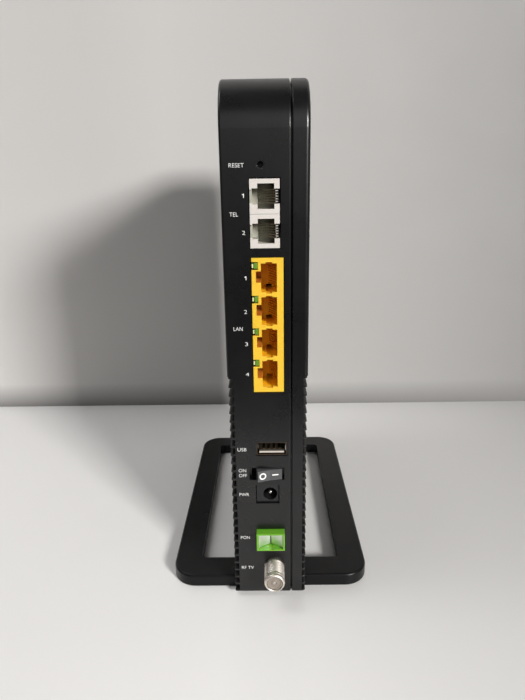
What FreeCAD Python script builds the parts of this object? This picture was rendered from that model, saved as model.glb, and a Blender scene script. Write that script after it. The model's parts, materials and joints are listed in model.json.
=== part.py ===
import FreeCAD, Part
import os
import re
import Sketcher

# Optical network terminal standing on edge in a flat ring stand.
# Frame: origin at the middle of the footprint on the table, +Z up, +X across the thickness
# from the moulded shell to its side cover, +Y from the port face to the light edge.

DIMS = {
    # case
    "case_thick": 35, "case_deep": 167, "case_high": 231.7, "case_foot": 2, "case_wall": 2.5,
    "side_wall": 2, "top_round": 20, "foot_round": 1.6, "shell_edge": 1, "cover_edge": 1.7,
    "seam_x": 10, "seam_gap": 0.7, "seam_edge": 0.5, "tongue_play": 0.15, "tongue_thick": 1,
    "tongue_reach": 1, "face_y": -77.6,
    # louvres that wrap the two corners of the port face
    "vent_count": 27, "vent_top": 113.7, "vent_pitch": 4.11, "vent_high": 3.2,
    "vent_reach": 2.6, "cover_vent_reach": 2.1, "vent_run": 34, "vent_post": 6, "vent_rows": 4,
    "vent_step": 0.45, "vent_step_top": 114.5, "through": 1,
    # ring stand
    "ring_wide": 99, "ring_deep": 154, "ring_inset": 6.5, "ring_bar": 13.6, "ring_low": 0.5,
    "ring_top": 6.7, "ring_round": 12, "window_round": 2.5, "ring_edge": 1.2,
    "saddle_play": 0.15, "spine_wide": 26, "spine_top": 1.6, "spine_bite": 1,
    "foot_radius": 4.5, "foot_thick": 1.3, "foot_play": 0.1,
    # screws
    "stand_screw_x": 9, "cover_screw_x": 13.1, "screw_radius": 1, "screw_head": 2.2,
    "screw_head_thick": 1.2, "top_head_thick": 1.4, "head_play": 0.2, "hole_play": 0.3,
    "thread_play": 0.02, "screw_long": 9, "screw_spare": 1.5, "post_radius": 3, "post_high": 9,
    "top_screw_z": 225.2, "top_screw_back": 30, "top_screw_front": 137, "tube_radius": 3.6,
    "tube_bore": 2.7, "tube_floor": 6, "tube_end": 7.8, "boss_radius": 2.6, "boss_gap": 0.1,
    "block_wide": 4.8,
    # main board
    "board_x": 8.6, "board_thick": 1.6, "board_back": 4, "board_deep": 153, "board_low": 12,
    "board_high": 207, "board_corner": 8, "board_screw_upper": 205, "board_screw_lower": 45,
    "board_screw_a": 50, "board_screw_b": 130, "board_screw_c": 37, "board_screw_d": 117,
    "board_hole_play": 0.4,
    # processor with its heat sink, and the memory beside it
    "chip_y": 72, "chip_z": 118, "chip_side": 23, "chip_thick": 1.4, "sink_y": 64, "sink_z": 110,
    "sink_side": 39, "sink_base": 2, "sink_tall": 9.4, "sink_fins": 10, "sink_pitch": 4.2,
    "sink_fin": 1.2, "memory_y": 110, "memory_z": 112, "memory_pitch": 18, "memory_wide": 9,
    "memory_long": 13.5, "memory_thick": 1.1,
    # tinned cans over the radio and the telephone line circuits
    "can_wall": 0.3, "can_skin": 0.2, "wifi_y": 62, "wifi_z": 160, "wifi_deep": 48,
    "wifi_high": 34, "wifi_thick": 3.2, "line_y": 44, "line_z": 16, "line_deep": 36,
    "line_high": 22, "line_thick": 3.6,
    # power parts, line transformers and antennas
    "capacitor_radius": 4, "capacitor_long": 11.5, "coil_y": 36, "coil_z": 88, "coil_pitch": 16,
    "coil_side": 8, "coil_thick": 4, "transformer_y": 27, "transformer_deep": 14,
    "transformer_high": 11, "transformer_thick": 6, "antenna_y": 70, "antenna_pitch": 30,
    "antenna_z": 200, "antenna_long": 22, "antenna_high": 8.4, "antenna_skin": 0.4,
    "antenna_off": 9, "antenna_leg": 3,
    # telephone jacks
    "tel_x": -6.2, "tel_wide": 11.8, "tel_high": 13.2, "tel_low": 169.1, "tel_pitch": 13.3,
    "jack_recess": 0.3, "tel_deep": 16, "tel_port_wide": 6.6, "tel_port_high": 9.6,
    "tel_port_x": -3.1, "tel_port_z": 1.85, "tel_port_deep": 12, "tel_latch_wide": 2.2,
    "tel_latch_high": 6, "tel_notch_high": 5, "tel_notch_deep": 1.1, "tel_window_high": 5.6,
    "tel_window_deep": 8, "tel_wires": 6, "tel_wire_long": 10.4, "tel_wire_turn": 33,
    "wire_pitch": 1.02, "wire_thick": 0.45, "wire_seat": 0.4, "comb_deep": 1.3,
    "comb_slot": 0.6, "comb_start": 1.2,
    # network jacks
    "lan_x": -6, "lan_wide": 13, "lan_low": 107.5, "lan_high": 57.8, "lan_pitch": 13.8,
    "lan_deep": 21, "lan_first": 109.9, "lan_port_x": -2.2, "lan_port_wide": 6.5,
    "lan_port_high": 11.7, "lan_port_deep": 14, "lan_latch_wide": 2.1, "lan_latch_high": 4.6,
    "lan_latch_above": 0.4,
    "lan_wires": 8, "lan_wire_long": 10.5, "lan_wire_turn": 22, "lan_key_wide": 2.6,
    "lan_key_high": 0.55, "lan_slot_wide": 2.6, "lan_slot_high": 1.1, "led_wide": 2.5,
    "led_high": 2.8, "led_deep": 5, "led_above": 9.35,
    "led_play": 0.1,
    # USB socket
    "usb_x": 1.45, "usb_z": 80, "usb_wide": 13.4, "usb_high": 6, "usb_wall": 0.35,
    "usb_deep": 14, "usb_recess": 0.6, "usb_play": 0.35, "tongue_wide": 11.1, "tongue_high": 1.6,
    "tongue_above": 0.3, "tongue_start": 0.8, "pad_start": 1.6, "pad_wide": 1,
    "pad_thick": 0.25, "pad_pitch": 2.3,
    # rocker switch
    "rocker_x": -0.9, "rocker_z": 67.6, "rocker_deep": 4.4, "rocker_tilt": 13.45,
    "rocker_vee": 4.25, "rocker_face": 5.8, "cap_half": 5.6, "cap_high": 5.2, "cap_body": 3.6,
    "stem_half": 3.2, "stem_back": 1.6, "stem_bite": 1.5, "pin_radius": 1, "pin_play": 0.05,
    "pin_reach": 1.5, "pin_end_play": 0.1, "well_half": 8, "well_high": 6.2, "frame_half": 8.5,
    "frame_high": 9.4, "cavity_half": 6.9, "cavity_high": 5.8, "cavity_back": 3.8,
    "frame_back": 14, "blade_thick": 0.6, "blade_long": 4, "blade_wide": 3,
    # power inlet
    "inlet_x": -5.7, "inlet_wide": 10.1, "inlet_low": 52.5, "inlet_high": 8.9,
    "inlet_recess": 1, "inlet_deep": 13, "inlet_behind": 0.5, "plug_x": 0.55, "plug_z": 56.7,
    "plug_radius": 3.2, "plug_deep": 10, "plug_pin": 1, "plug_pin_recess": 1, "cut_play": 0.4,
    "spring_start": 3, "spring_wide": 1.8, "spring_thick": 0.4, "spring_play": 0.2,
    # fibre adapter with a pair of shutter leaves
    "pon_x": 0.5, "pon_z": 33.65, "pon_wide": 13.1, "pon_high": 8.9, "pon_reach": 4,
    "pon_deep": 18, "pon_play": 0.2, "pon_port_wide": 11.5, "pon_port_high": 7.9,
    "pon_port_deep": 13.5, "leaf_hinge": 5.4, "leaf_inset": 1.6, "leaf_angle": 31,
    "leaf_long": 5.9, "leaf_thick": 0.3, "leaf_high": 7.3, "leaf_pin": 0.3,
    "leaf_pin_play": 0.05, "leaf_pin_reach": 0.45, "sleeve_radius": 1.6, "sleeve_bore": 1.25,
    "sleeve_start": 5, "sleeve_long": 8, "holder_radius": 2.6, "keyway_wide": 2.4,
    "keyway_deep": 0.25, "module_side": 9, "module_long": 20,
    # television connector
    "rf_x": 2.1, "rf_z": 17, "rf_radius": 4.75, "rf_reach": 11.8, "rf_chamfer": 0.6,
    "rf_bore": 3.7, "rf_bore_recess": 0.6, "rf_neck": 4.5, "rf_collar": 6, "rf_collar_thick": 2.4,
    "rf_back": 13, "rf_hole": 5.1, "rf_contact": 0.75, "rf_contact_bore": 0.45,
    "rf_contact_recess": 1.4, "rf_contact_deep": 2,
    # reset switch and pairing button
    "reset_x": -1.8, "reset_z": 200.8, "reset_hole": 1.2, "reset_rim": 1.6,
    "reset_rim_deep": 0.15, "switch_wide": 6,
    "reset_body": 6.2, "switch_deep": 4, "plunger_radius": 0.98, "plunger_bore": 1.05,
    "plunger_start": 3.4, "plunger_long": 4.2, "pocket_deep": 2.4,
    "pair_x": -3.75, "pair_z": 112, "pair_cap": 7, "pair_play": 0.3, "pair_proud": 0.5,
    "pair_cap_thick": 3.6, "pair_stem": 1.6, "pair_stem_long": 3.2, "pair_body_gap": 0.8,
    # status lights
    "light_x": -3.75, "light_low": 128, "light_high": 78, "light_wide": 5, "light_thick": 1.8,
    "light_inset": 0.2, "light_play": 0.1, "light_fins": 9, "fin_pitch": 8.4, "fin_thick": 1.6,
    "fin_deep": 9, "fin_short": 1.6, "fin_clear": 0.4, "rib_half": 1, "rib_deep": 2,
    "led_gap": 0.5, "led_chip": 1.2, "led_chip_deep": 1, "led_chip_high": 1.6,
}

doc = FreeCAD.newDocument("optical_network_terminal")
sheet = doc.addObject("Spreadsheet::Sheet", "dims")
for row, (alias, number) in enumerate(DIMS.items(), start=1):
    sheet.set(f"A{row}", alias)
    sheet.set(f"B{row}", str(number))
    sheet.setAlias(f"B{row}", alias)
doc.recompute()

NODES = []
AXES = {
    "x": (FreeCAD.Vector(0, 1, 0), 90), "y": (FreeCAD.Vector(1, 0, 0), -90), "z": (FreeCAD.Vector(0, 0, 1),
                                                                                   0),
}
# what each origin plane's sketch calls right, up and out, as row axes
PLANES = {"YZ_Plane": "yzx", "XY_Plane": "xyz"}


def cells(text):
    """An expression in which every dimension is read from the sheet."""
    def from_sheet(word):
        return "dims." + word.group() if word.group() in DIMS else word.group()
    return re.sub(r"[a-z]\w*", from_sheet, str(text))


def size(text):
    """The number an expression comes to."""
    return float(sheet.evalExpression(cells(text)))


def bind(thing, **sizes):
    for prop, text in sizes.items():
        thing.setExpression(prop, cells(text))
    return thing


def place(thing, at):
    for axis, text in zip("xyz", at):
        thing.setExpression(f"Placement.Base.{axis}", cells(text))
    return thing


def box(name, at, long):
    thing = doc.addObject("Part::Box", name)
    bind(thing, Length=long[0], Width=long[1], Height=long[2])
    return place(thing, at)


def middle_box(name, middle, long):
    """A box given by its middle in X and Z and its near end in Y."""
    at = (f"{middle[0]} - ({long[0]}) / 2", middle[1], f"{middle[2]} - ({long[2]}) / 2")
    return box(name, at, long)


def rod(name, axis, at, radius, long):
    thing = doc.addObject("Part::Cylinder", name)
    bind(thing, Radius=radius, Height=long)
    thing.Placement = FreeCAD.Placement(FreeCAD.Vector(), FreeCAD.Rotation(*AXES[axis]))
    return place(thing, at)


def fuse(name, *pieces):
    thing = doc.addObject("Part::MultiFuse", name)
    thing.Shapes = pieces
    return thing


def cut(name, base, *tools):
    thing = doc.addObject("Part::Cut", name)
    thing.Base = base
    thing.Tool = tools[0] if len(tools) == 1 else fuse(name + "_cuts", *tools)
    return thing


def group(name, *pieces):
    """Several loose pieces of one kind in one node."""
    thing = doc.addObject("Part::Compound", name)
    thing.Links = pieces
    return thing


def node(label, thing):
    thing.Label = label
    NODES.append(thing)
    return thing


def corner_sketch(owner, role, corner, wide, high):
    """A rectangle of the given size, its corner placed on one of the body's origin planes."""
    sketch = owner.newObject("Sketcher::SketchObject", owner.Name + "_sketch")
    plane = next(f for f in owner.Origin.OriginFeatures if f.Role == role)
    sketch.AttachmentSupport = [(plane, "")]
    sketch.MapMode = "FlatFace"
    for own, row_axis in zip("xyz", PLANES[role]):
        sketch.setExpression(f"AttachmentOffset.Base.{own}", cells(corner["xyz".index(row_axis)]))
    across, up = size(wide), size(high)
    points = [FreeCAD.Vector(*p) for p in ((0, 0, 0), (across, 0, 0), (across, up, 0), (0, up, 0))]
    for i in range(4):
        sketch.addGeometry(Part.LineSegment(points[i], points[(i + 1) % 4]), False)
    for i in range(4):
        sketch.addConstraint(Sketcher.Constraint("Coincident", i, 2, (i + 1) % 4, 1))
    for i, rule in enumerate(("Horizontal", "Vertical", "Horizontal", "Vertical")):
        sketch.addConstraint(Sketcher.Constraint(rule, i))
    sketch.addConstraint(Sketcher.Constraint("Coincident", 0, 1, -1, 1))
    for rule, line, text in (("DistanceX", 0, wide), ("DistanceY", 1, high)):
        index = sketch.addConstraint(Sketcher.Constraint(rule, line, 1, line, 2, size(text)))
        sketch.setExpression(f"Constraints[{index}]", cells(text))
    return sketch


def slab(name, role, corner, wide, high, thick):
    """A body holding one padded rectangle."""
    owner = doc.addObject("PartDesign::Body", name)
    pad = owner.newObject("PartDesign::Pad", name + "_pad")
    pad.Profile = corner_sketch(owner, role, corner, wide, high)
    bind(pad, Length=thick)
    doc.recompute()
    return owner


def soften(owner, kind, amount, chosen):
    """Fillet or chamfer of the edges of the body's tip that the test picks."""
    base = owner.Tip
    names = [f"Edge{i}" for i, edge in enumerate(base.Shape.Edges, start=1) if chosen(edge)]
    feature = owner.newObject(f"PartDesign::{kind}", f"{owner.Name}_{kind.lower()}")
    feature.Base = (base, names)
    bind(feature, **{"Radius" if kind == "Fillet" else "Size": amount})
    doc.recompute()
    return feature


def along(axis):
    """Test for straight edges parallel to a row axis."""
    def test(edge):
        return edge.Curve.TypeId == "Part::GeomLine" and abs(getattr(edge.Curve.Direction, axis)) > 0.999
    return test


def lying_at(axis, text):
    """Test for edges that lie in the plane where the row axis has the given value."""
    def test(edge):
        return all(abs(getattr(v.Point, axis) - size(text)) < 1e-4 for v in edge.Vertexes)
    return test


def outline(name, x_from, x_to, inset):
    """The case's side view as a slab, drawn in by an inset, with two large corners at the top."""
    owner = slab(
        name, "YZ_Plane", (x_from, f"face_y + {inset}", f"case_foot + {inset}"),
        f"case_deep - 2 * ({inset})", f"case_high - 2 * ({inset})", f"({x_to}) - ({x_from})",
    )
    middle = size("case_foot + case_high / 2")
    across = along("x")
    soften(owner, "Fillet", f"top_round - ({inset})", lambda e: across(e) and e.CenterOfMass.z > middle)
    if size(f"foot_round - ({inset})") > 0:
        soften(owner, "Fillet", f"foot_round - ({inset})",
               lambda e: across(e) and e.CenterOfMass.z < middle)
    return owner


def louvres(side, near_x):
    """The slots of one side: full-length bars, less the posts that hold the ribs."""
    run = "vent_rows * vent_run + (vent_rows - 1) * vent_post"
    bars = []
    for i in range(int(size("vent_count"))):
        at = (near_x, "face_y - through", f"vent_top - vent_high - {i} * vent_pitch")
        bars.append(box(f"{side}_slot", at, ("vent_reach + through", f"{run} + through", "vent_high")))
    posts = []
    for i in range(1, int(size("vent_rows"))):
        at = (near_x, f"face_y + {i} * vent_run + {i - 1} * vent_post", "case_foot")
        posts.append(box(f"{side}_post", at, ("vent_reach + through", "vent_post", "vent_step_top")))
    return cut(f"{side}_louvres", fuse(f"{side}_slots", *bars), fuse(f"{side}_posts", *posts))


def side_step(side, near_x):
    """The shallow step that sets the louvred part of a side below the plain part."""
    at = (near_x, "face_y - through", "case_foot - through")
    long = ("vent_step + through", "case_deep + 2 * through", "vent_step_top - case_foot + through")
    return box(f"{side}_step", at, long)


def from_face(depth):
    return f"face_y + {depth}"


BOARD_SCREWS = [
    ("board_screw_a", "board_screw_upper"), ("board_screw_b", "board_screw_upper"),
    ("board_screw_c", "board_screw_lower"), ("board_screw_d", "board_screw_lower"),
]
TOP_SCREWS = ["top_screw_back", "top_screw_front"]
STAND_SCREWS = ["ring_inset + ring_bar / 2", "ring_inset + ring_deep - ring_bar / 2"]
# where the power supply's round capacitors and the rocker switch's blades stand
CAPACITOR_SPOTS = [(30, 52), (30, 64), (42, 58), (30, 78), (42, 72)]
BLADE_SPOTS = [-5, 0, 4.4]
INSIDE_LEFT = "-case_thick / 2 + case_wall"
OUTSIDE_LEFT = "-case_thick / 2 - through"
INSIDE_RIGHT = "case_thick / 2 - side_wall"
TIGHT_HOLE = "screw_radius + thread_play"


def main_shell():
    shell = outline("shell_outer", "-case_thick / 2", "seam_x", "0")
    soften(shell, "Fillet", "shell_edge", lying_at("x", "-case_thick / 2"))
    soften(shell, "Fillet", "seam_edge", lying_at("x", "seam_x"))
    hollow = outline("shell_hollow", INSIDE_LEFT, "seam_x + through", "case_wall")
    walls = cut("shell_walls", shell, hollow)
    added = []
    holes = [louvres("left", OUTSIDE_LEFT), side_step("left", OUTSIDE_LEFT)]
    for y, z in BOARD_SCREWS:
        at = (INSIDE_LEFT, from_face(y), z)
        added.append(rod("board_boss", "x", at, "post_radius", f"board_x - ({INSIDE_LEFT})"))
        holes.append(rod("board_boss_hole", "x", (0, from_face(y), z), TIGHT_HOLE, "board_x + through"))
    for y in TOP_SCREWS:
        y = from_face(y)
        tube = ((INSIDE_LEFT, y, "top_screw_z"), "tube_radius", f"tube_end - ({INSIDE_LEFT})")
        bore = ((OUTSIDE_LEFT, y, "top_screw_z"), "tube_bore", f"tube_floor - ({OUTSIDE_LEFT})")
        added.append(rod("screw_tube", "x", *tube))
        holes.append(rod("screw_tube_bore", "x", *bore))
        holes.append(rod("screw_tube_hole", "x", (0, y, "top_screw_z"), "screw_radius + hole_play",
                         "tube_end + through"))
    for y in STAND_SCREWS:
        y = from_face(y)
        boss = (("-stand_screw_x", y, "case_foot + case_wall"), "post_radius", "post_high")
        hole = (("-stand_screw_x", y, "case_foot - through"), TIGHT_HOLE, "case_wall + post_high + through")
        added.append(rod("stand_boss", "z", *boss))
        holes.append(rod("stand_boss_hole", "z", *hole))
    holes += port_face_openings()
    holes += light_edge_openings()
    node("main_shell", cut("main_shell", fuse("shell_with_bosses", walls, *added), *holes))


def face_opening(name, low_x, low_z, wide, high, play):
    """A rectangular hole through the port face with the given play all round."""
    at = (f"{low_x} - {play}", "face_y - through", f"{low_z} - {play}")
    return box(name, at, (f"{wide} + 2 * {play}", "case_wall + 2 * through", f"{high} + 2 * {play}"))


def port_face_openings():
    deep = "case_wall + 2 * through"
    return [
        rod("reset_opening", "y", ("reset_x", "face_y - through", "reset_z"), "reset_hole", deep),
        rod("reset_sink", "y", ("reset_x", "face_y - through", "reset_z"), "reset_rim",
            "through + reset_rim_deep"),
        face_opening("tel_opening", "tel_x", "tel_low", "tel_wide", "tel_pitch + tel_high", "cut_play"),
        face_opening("lan_opening", "lan_x", "lan_low", "lan_wide", "lan_high", "cut_play"),
        face_opening("usb_opening", "usb_x - usb_wide / 2", "usb_z - usb_high / 2", "usb_wide", "usb_high",
                     "usb_play"),
        face_opening("rocker_opening", "rocker_x - well_half", "rocker_z - well_high / 2", "2 * well_half",
                     "well_high", "0"),
        face_opening("inlet_opening", "inlet_x", "inlet_low", "inlet_wide", "inlet_high", "cut_play"),
        face_opening("pon_opening", "pon_x - pon_wide / 2", "pon_z - pon_high / 2", "pon_wide", "pon_high",
                     "pon_play"),
        rod("rf_opening", "y", ("rf_x", "face_y - through", "rf_z"), "rf_hole", deep),
    ]


def light_edge_openings():
    wall_in = "face_y + case_deep - case_wall - through"
    wall_cut = "case_wall + 2 * through"
    return [
        middle_box("pair_opening", ("pair_x", wall_in, "pair_z"),
                   ("pair_cap + 2 * pair_play", wall_cut, "pair_cap + 2 * pair_play")),
        box("light_opening", ("light_x - light_wide / 2", wall_in, "light_low"),
            ("light_wide", wall_cut, "light_high")),
    ]


def side_cover():
    plate = outline("cover_outer", "seam_x + seam_gap", "case_thick / 2", "0")
    soften(plate, "Fillet", "cover_edge", lying_at("x", "case_thick / 2"))
    soften(plate, "Fillet", "seam_edge / 2", lying_at("x", "seam_x + seam_gap"))
    inset = "case_wall + tongue_play + tongue_thick"
    tongue = outline("cover_tongue", "seam_x - tongue_reach", "seam_x + 2 * seam_gap",
                     "case_wall + tongue_play")
    hollow = outline("cover_hollow", "seam_x - tongue_reach - through", INSIDE_RIGHT, inset)
    walls = cut("cover_walls", fuse("cover_blank", plate, tongue), hollow)
    added = []
    holes = [
        louvres("right", "case_thick / 2 - cover_vent_reach"),
        side_step("right", "case_thick / 2 - vent_step"),
    ]
    for y in TOP_SCREWS:
        y = from_face(y)
        boss = (("tube_end + boss_gap", y, "top_screw_z"), "boss_radius",
                f"{INSIDE_RIGHT} - tube_end - boss_gap")
        added.append(rod("cover_boss", "x", *boss))
        holes.append(rod("cover_boss_hole", "x", ("tube_end", y, "top_screw_z"), TIGHT_HOLE,
                         "screw_long - screw_spare"))
    for y in STAND_SCREWS:
        middle = ("cover_screw_x", from_face(y) + " - block_wide / 2",
                  "case_foot + case_wall + post_high / 2")
        long = (f"2 * ({INSIDE_RIGHT} - cover_screw_x)", "block_wide", "post_high")
        added.append(middle_box("cover_stand_boss", middle, long))
        hole = (("cover_screw_x", from_face(y), "case_foot - through"), TIGHT_HOLE,
                "case_wall + post_high + through")
        holes.append(rod("cover_stand_hole", "z", *hole))
    node("side_cover", cut("side_cover", fuse("cover_with_bosses", walls, *added), *holes))


def stand_screw(x, y):
    """One screw up into the case, with the holes it needs in the stand."""
    low = "ring_low + head_play"
    head = rod("stand_screw_head", "z", (x, y, low), "screw_head", "screw_head_thick")
    shank = rod("stand_screw_shank", "z", (x, y, low), "screw_radius", "screw_long")
    recess = rod("stand_counterbore", "z", (x, y, 0), "screw_head + head_play", f"{low} + screw_head_thick")
    hole = rod("stand_screw_hole", "z", (x, y, 0), "screw_radius + head_play", "ring_top")
    return fuse("stand_screw", head, shank), [recess, hole]


def stand():
    ring = slab("ring_outer", "XY_Plane", ("-ring_wide / 2", from_face("ring_inset"), "ring_low"),
                "ring_wide", "ring_deep", "ring_top - ring_low")
    soften(ring, "Fillet", "ring_round", along("z"))
    soften(ring, "Fillet", "ring_edge", lying_at("z", "ring_top"))
    window = slab("ring_window", "XY_Plane",
                  ("-ring_wide / 2 + ring_bar", from_face("ring_inset + ring_bar"), "ring_low - through"),
                  "ring_wide - 2 * ring_bar", "ring_deep - 2 * ring_bar",
                  "ring_top - ring_low + 2 * through")
    soften(window, "Fillet", "window_round", along("z"))
    bar = cut("ring_bars", ring, window)
    spine = box("ring_spine",
                ("-spine_wide / 2", from_face("ring_inset + ring_bar - spine_bite"), "ring_low"),
                ("spine_wide", "ring_deep - 2 * ring_bar + 2 * spine_bite", "spine_top - ring_low"))
    saddle = box("ring_saddle",
                 ("-case_thick / 2 - saddle_play", from_face("ring_inset - through"), "case_foot"),
                 ("case_thick + 2 * saddle_play", "ring_deep + 2 * through", "ring_top"))
    holes = [saddle]
    feet = []
    corner = "ring_bar / 2"
    for x in (f"-ring_wide / 2 + {corner}", f"ring_wide / 2 - {corner}"):
        for y in (f"ring_inset + {corner}", f"ring_inset + ring_deep - {corner}"):
            feet.append(rod("foot", "z", (x, from_face(y), 0), "foot_radius", "foot_thick"))
            pocket = ((x, from_face(y), "ring_low - through"), "foot_radius + foot_play",
                      "foot_thick - ring_low + through")
            holes.append(rod("foot_pocket", "z", *pocket))
    screws = []
    for y in STAND_SCREWS:
        for x in ("-stand_screw_x", "cover_screw_x"):
            screw, its_holes = stand_screw(x, from_face(y))
            screws.append(screw)
            holes += its_holes
    node("stand_ring", cut("stand_ring", fuse("ring_with_spine", bar, spine), *holes))
    node("stand_feet", group("stand_feet", *feet))
    node("stand_screws", group("stand_screws", *screws))


def cover_screws():
    screws = []
    for y in TOP_SCREWS:
        at = ("tube_floor - top_head_thick", from_face(y), "top_screw_z")
        head = rod("top_screw_head", "x", at, "screw_head", "top_head_thick")
        shank = rod("top_screw_shank", "x", at, "screw_radius", "screw_long")
        screws.append(fuse("top_screw", head, shank))
    node("cover_screws", group("cover_screws", *screws))


def main_board():
    board = slab("board", "YZ_Plane", ("board_x", from_face("board_back"), "board_low"),
                 "board_deep", "board_high", "board_thick")
    across = along("x")
    high = size("board_low + board_high / 2")
    soften(board, "Chamfer", "board_corner", lambda e: across(e) and e.CenterOfMass.z > high)
    holes = []
    screws = []
    outer = "board_x + board_thick"
    for y, z in BOARD_SCREWS:
        y = from_face(y)
        hole = (("board_x - through", y, z), "screw_radius + board_hole_play", "board_thick + 2 * through")
        holes.append(rod("board_hole", "x", *hole))
        head = rod("board_screw_head", "x", (outer, y, z), "screw_head", "screw_head_thick")
        shank = rod("board_screw_shank", "x", (outer + " - screw_long", y, z), "screw_radius", "screw_long")
        screws.append(fuse("board_screw", head, shank))
    node("main_pcb", cut("main_pcb", board, *holes))
    node("pcb_screws", group("pcb_screws", *screws))


def on_board(name, y, z, deep, high, thick):
    """A component's body on the board's shell side."""
    return box(name, (f"board_x - ({thick})", from_face(y), z), (thick, deep, high))


def shield_can(label, part):
    """A tinned can, open towards the board; part is the word its sizes begin with."""
    can = on_board(label + "_can", f"{part}_y", f"{part}_z", f"{part}_deep", f"{part}_high",
                   f"{part}_thick")
    at = (f"board_x - {part}_thick + can_skin", from_face(f"{part}_y + can_wall"), f"{part}_z + can_wall")
    long = (f"{part}_thick + through", f"{part}_deep - 2 * can_wall", f"{part}_high - 2 * can_wall")
    node(label, cut(label, can, box(label + "_room", at, long)))


def board_components():
    node("processor", on_board("processor", "chip_y", "chip_z", "chip_side", "chip_side", "chip_thick"))
    plate = box("sink_plate", ("board_x - chip_thick - sink_base", from_face("sink_y"), "sink_z"),
                ("sink_base", "sink_side", "sink_side"))
    fins = [box("sink_fin", ("board_x - sink_tall", from_face("sink_y"), f"sink_z + {i} * sink_pitch"),
                ("sink_tall - chip_thick - sink_base / 2", "sink_side", "sink_fin"))
            for i in range(int(size("sink_fins")))]
    node("heatsink", fuse("heatsink", plate, *fins))
    node("memory_chips", group("memory_chips", *[
        on_board("memory_chip", "memory_y", f"memory_z + {i} * memory_pitch", "memory_wide", "memory_long",
                 "memory_thick")
        for i in range(2)]))
    shield_can("wifi_shield_can", "wifi")
    shield_can("line_shield_can", "line")
    node("capacitors", group("capacitors", *[
        rod("capacitor", "x", ("board_x - capacitor_long", from_face(y), z), "capacitor_radius",
            "capacitor_long")
        for y, z in CAPACITOR_SPOTS]))
    node("inductors", group("inductors", *[
        on_board("inductor", f"coil_y + {i} * coil_pitch", "coil_z", "coil_side", "coil_side", "coil_thick")
        for i in range(3)]))
    node("line_transformers", group("line_transformers", *[
        on_board("transformer", "transformer_y", f"lan_first + {i} * lan_pitch", "transformer_deep",
                 "transformer_high", "transformer_thick") for i in range(4)]))
    antennas = []
    for i in range(2):
        y = from_face(f"antenna_y + {i} * antenna_pitch")
        leg = box("antenna_root", ("board_x - antenna_off", y, "antenna_z + antenna_high - antenna_skin"),
                  ("antenna_off", "antenna_leg", "antenna_skin"))
        plate = box("antenna_plate", ("board_x - antenna_off - antenna_skin", y, "antenna_z"),
                    ("antenna_skin", "antenna_long", "antenna_high"))
        antennas.append(fuse("antenna", leg, plate))
    node("antenna_plates", group("antenna_plates", *antennas))


def wire_comb(name, start_x, first_z, count, long, turn):
    """Spring wires that slant back from the comb across the opening."""
    wires = []
    for i in range(count):
        wire = box(name,
                   (start_x, from_face("jack_recess + comb_start"),
                    f"{first_z} - wire_thick / 2 + {i} * wire_pitch"),
                   ("wire_thick", long, "wire_thick"))
        wire.Placement.Rotation = FreeCAD.Rotation(FreeCAD.Vector(0, 0, 1), size(turn))
        wires.append(wire)
    return wires


def comb_slots(name, wall_x, start_y, first_z, count, deep):
    """The slots in an opening's side wall that the wires lie in."""
    return [box(name, (f"{wall_x} - through", start_y, f"{first_z} + {k} * wire_pitch - comb_slot / 2"),
                ("comb_deep + through", deep, "comb_slot")) for k in range(count)]


def telephone_jacks():
    front = from_face("jack_recess")
    near = front + " - through"
    wall = "tel_port_x + tel_port_wide"
    count = int(size("tel_wires"))
    for i, row in ((1, 1), (2, 0)):
        low = f"tel_low + {row} * tel_pitch"
        port_low = f"{low} + tel_port_z"
        middle = f"{port_low} + tel_port_high / 2"
        block = box("tel_block", ("tel_x", front, low), ("tel_wide", "tel_deep", "tel_high"))
        port = box("tel_port", ("tel_port_x", near, port_low),
                   ("tel_port_wide", "tel_port_deep + through", "tel_port_high"))
        latch = box("tel_latch", ("tel_port_x - tel_latch_wide", near, f"{middle} - tel_latch_high / 2"),
                    ("tel_latch_wide + through", "tel_port_deep - through", "tel_latch_high"))
        notch = box("tel_notch", ("tel_x - through", near, f"{middle} - tel_notch_high / 2"),
                    ("tel_port_x - tel_x + 2 * through", "tel_notch_deep + through", "tel_notch_high"))
        window = box("tel_window", (f"{wall} - through", near, f"{middle} - tel_window_high / 2"),
                     ("tel_wide", "tel_window_deep + through", "tel_window_high"))
        first = f"{middle} - (tel_wires - 1) / 2 * wire_pitch"
        slots = comb_slots("tel_slot", wall, front, first, count, "tel_port_deep")
        node(f"rj11_jack_{i}", cut(f"rj11_jack_{i}", block, port, latch, notch, window, *slots))
        wires = wire_comb("tel_wire", f"{wall} + wire_seat", first, count, "tel_wire_long", "tel_wire_turn")
        node(f"rj11_contacts_{i}", group(f"rj11_contacts_{i}", *wires))


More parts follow.
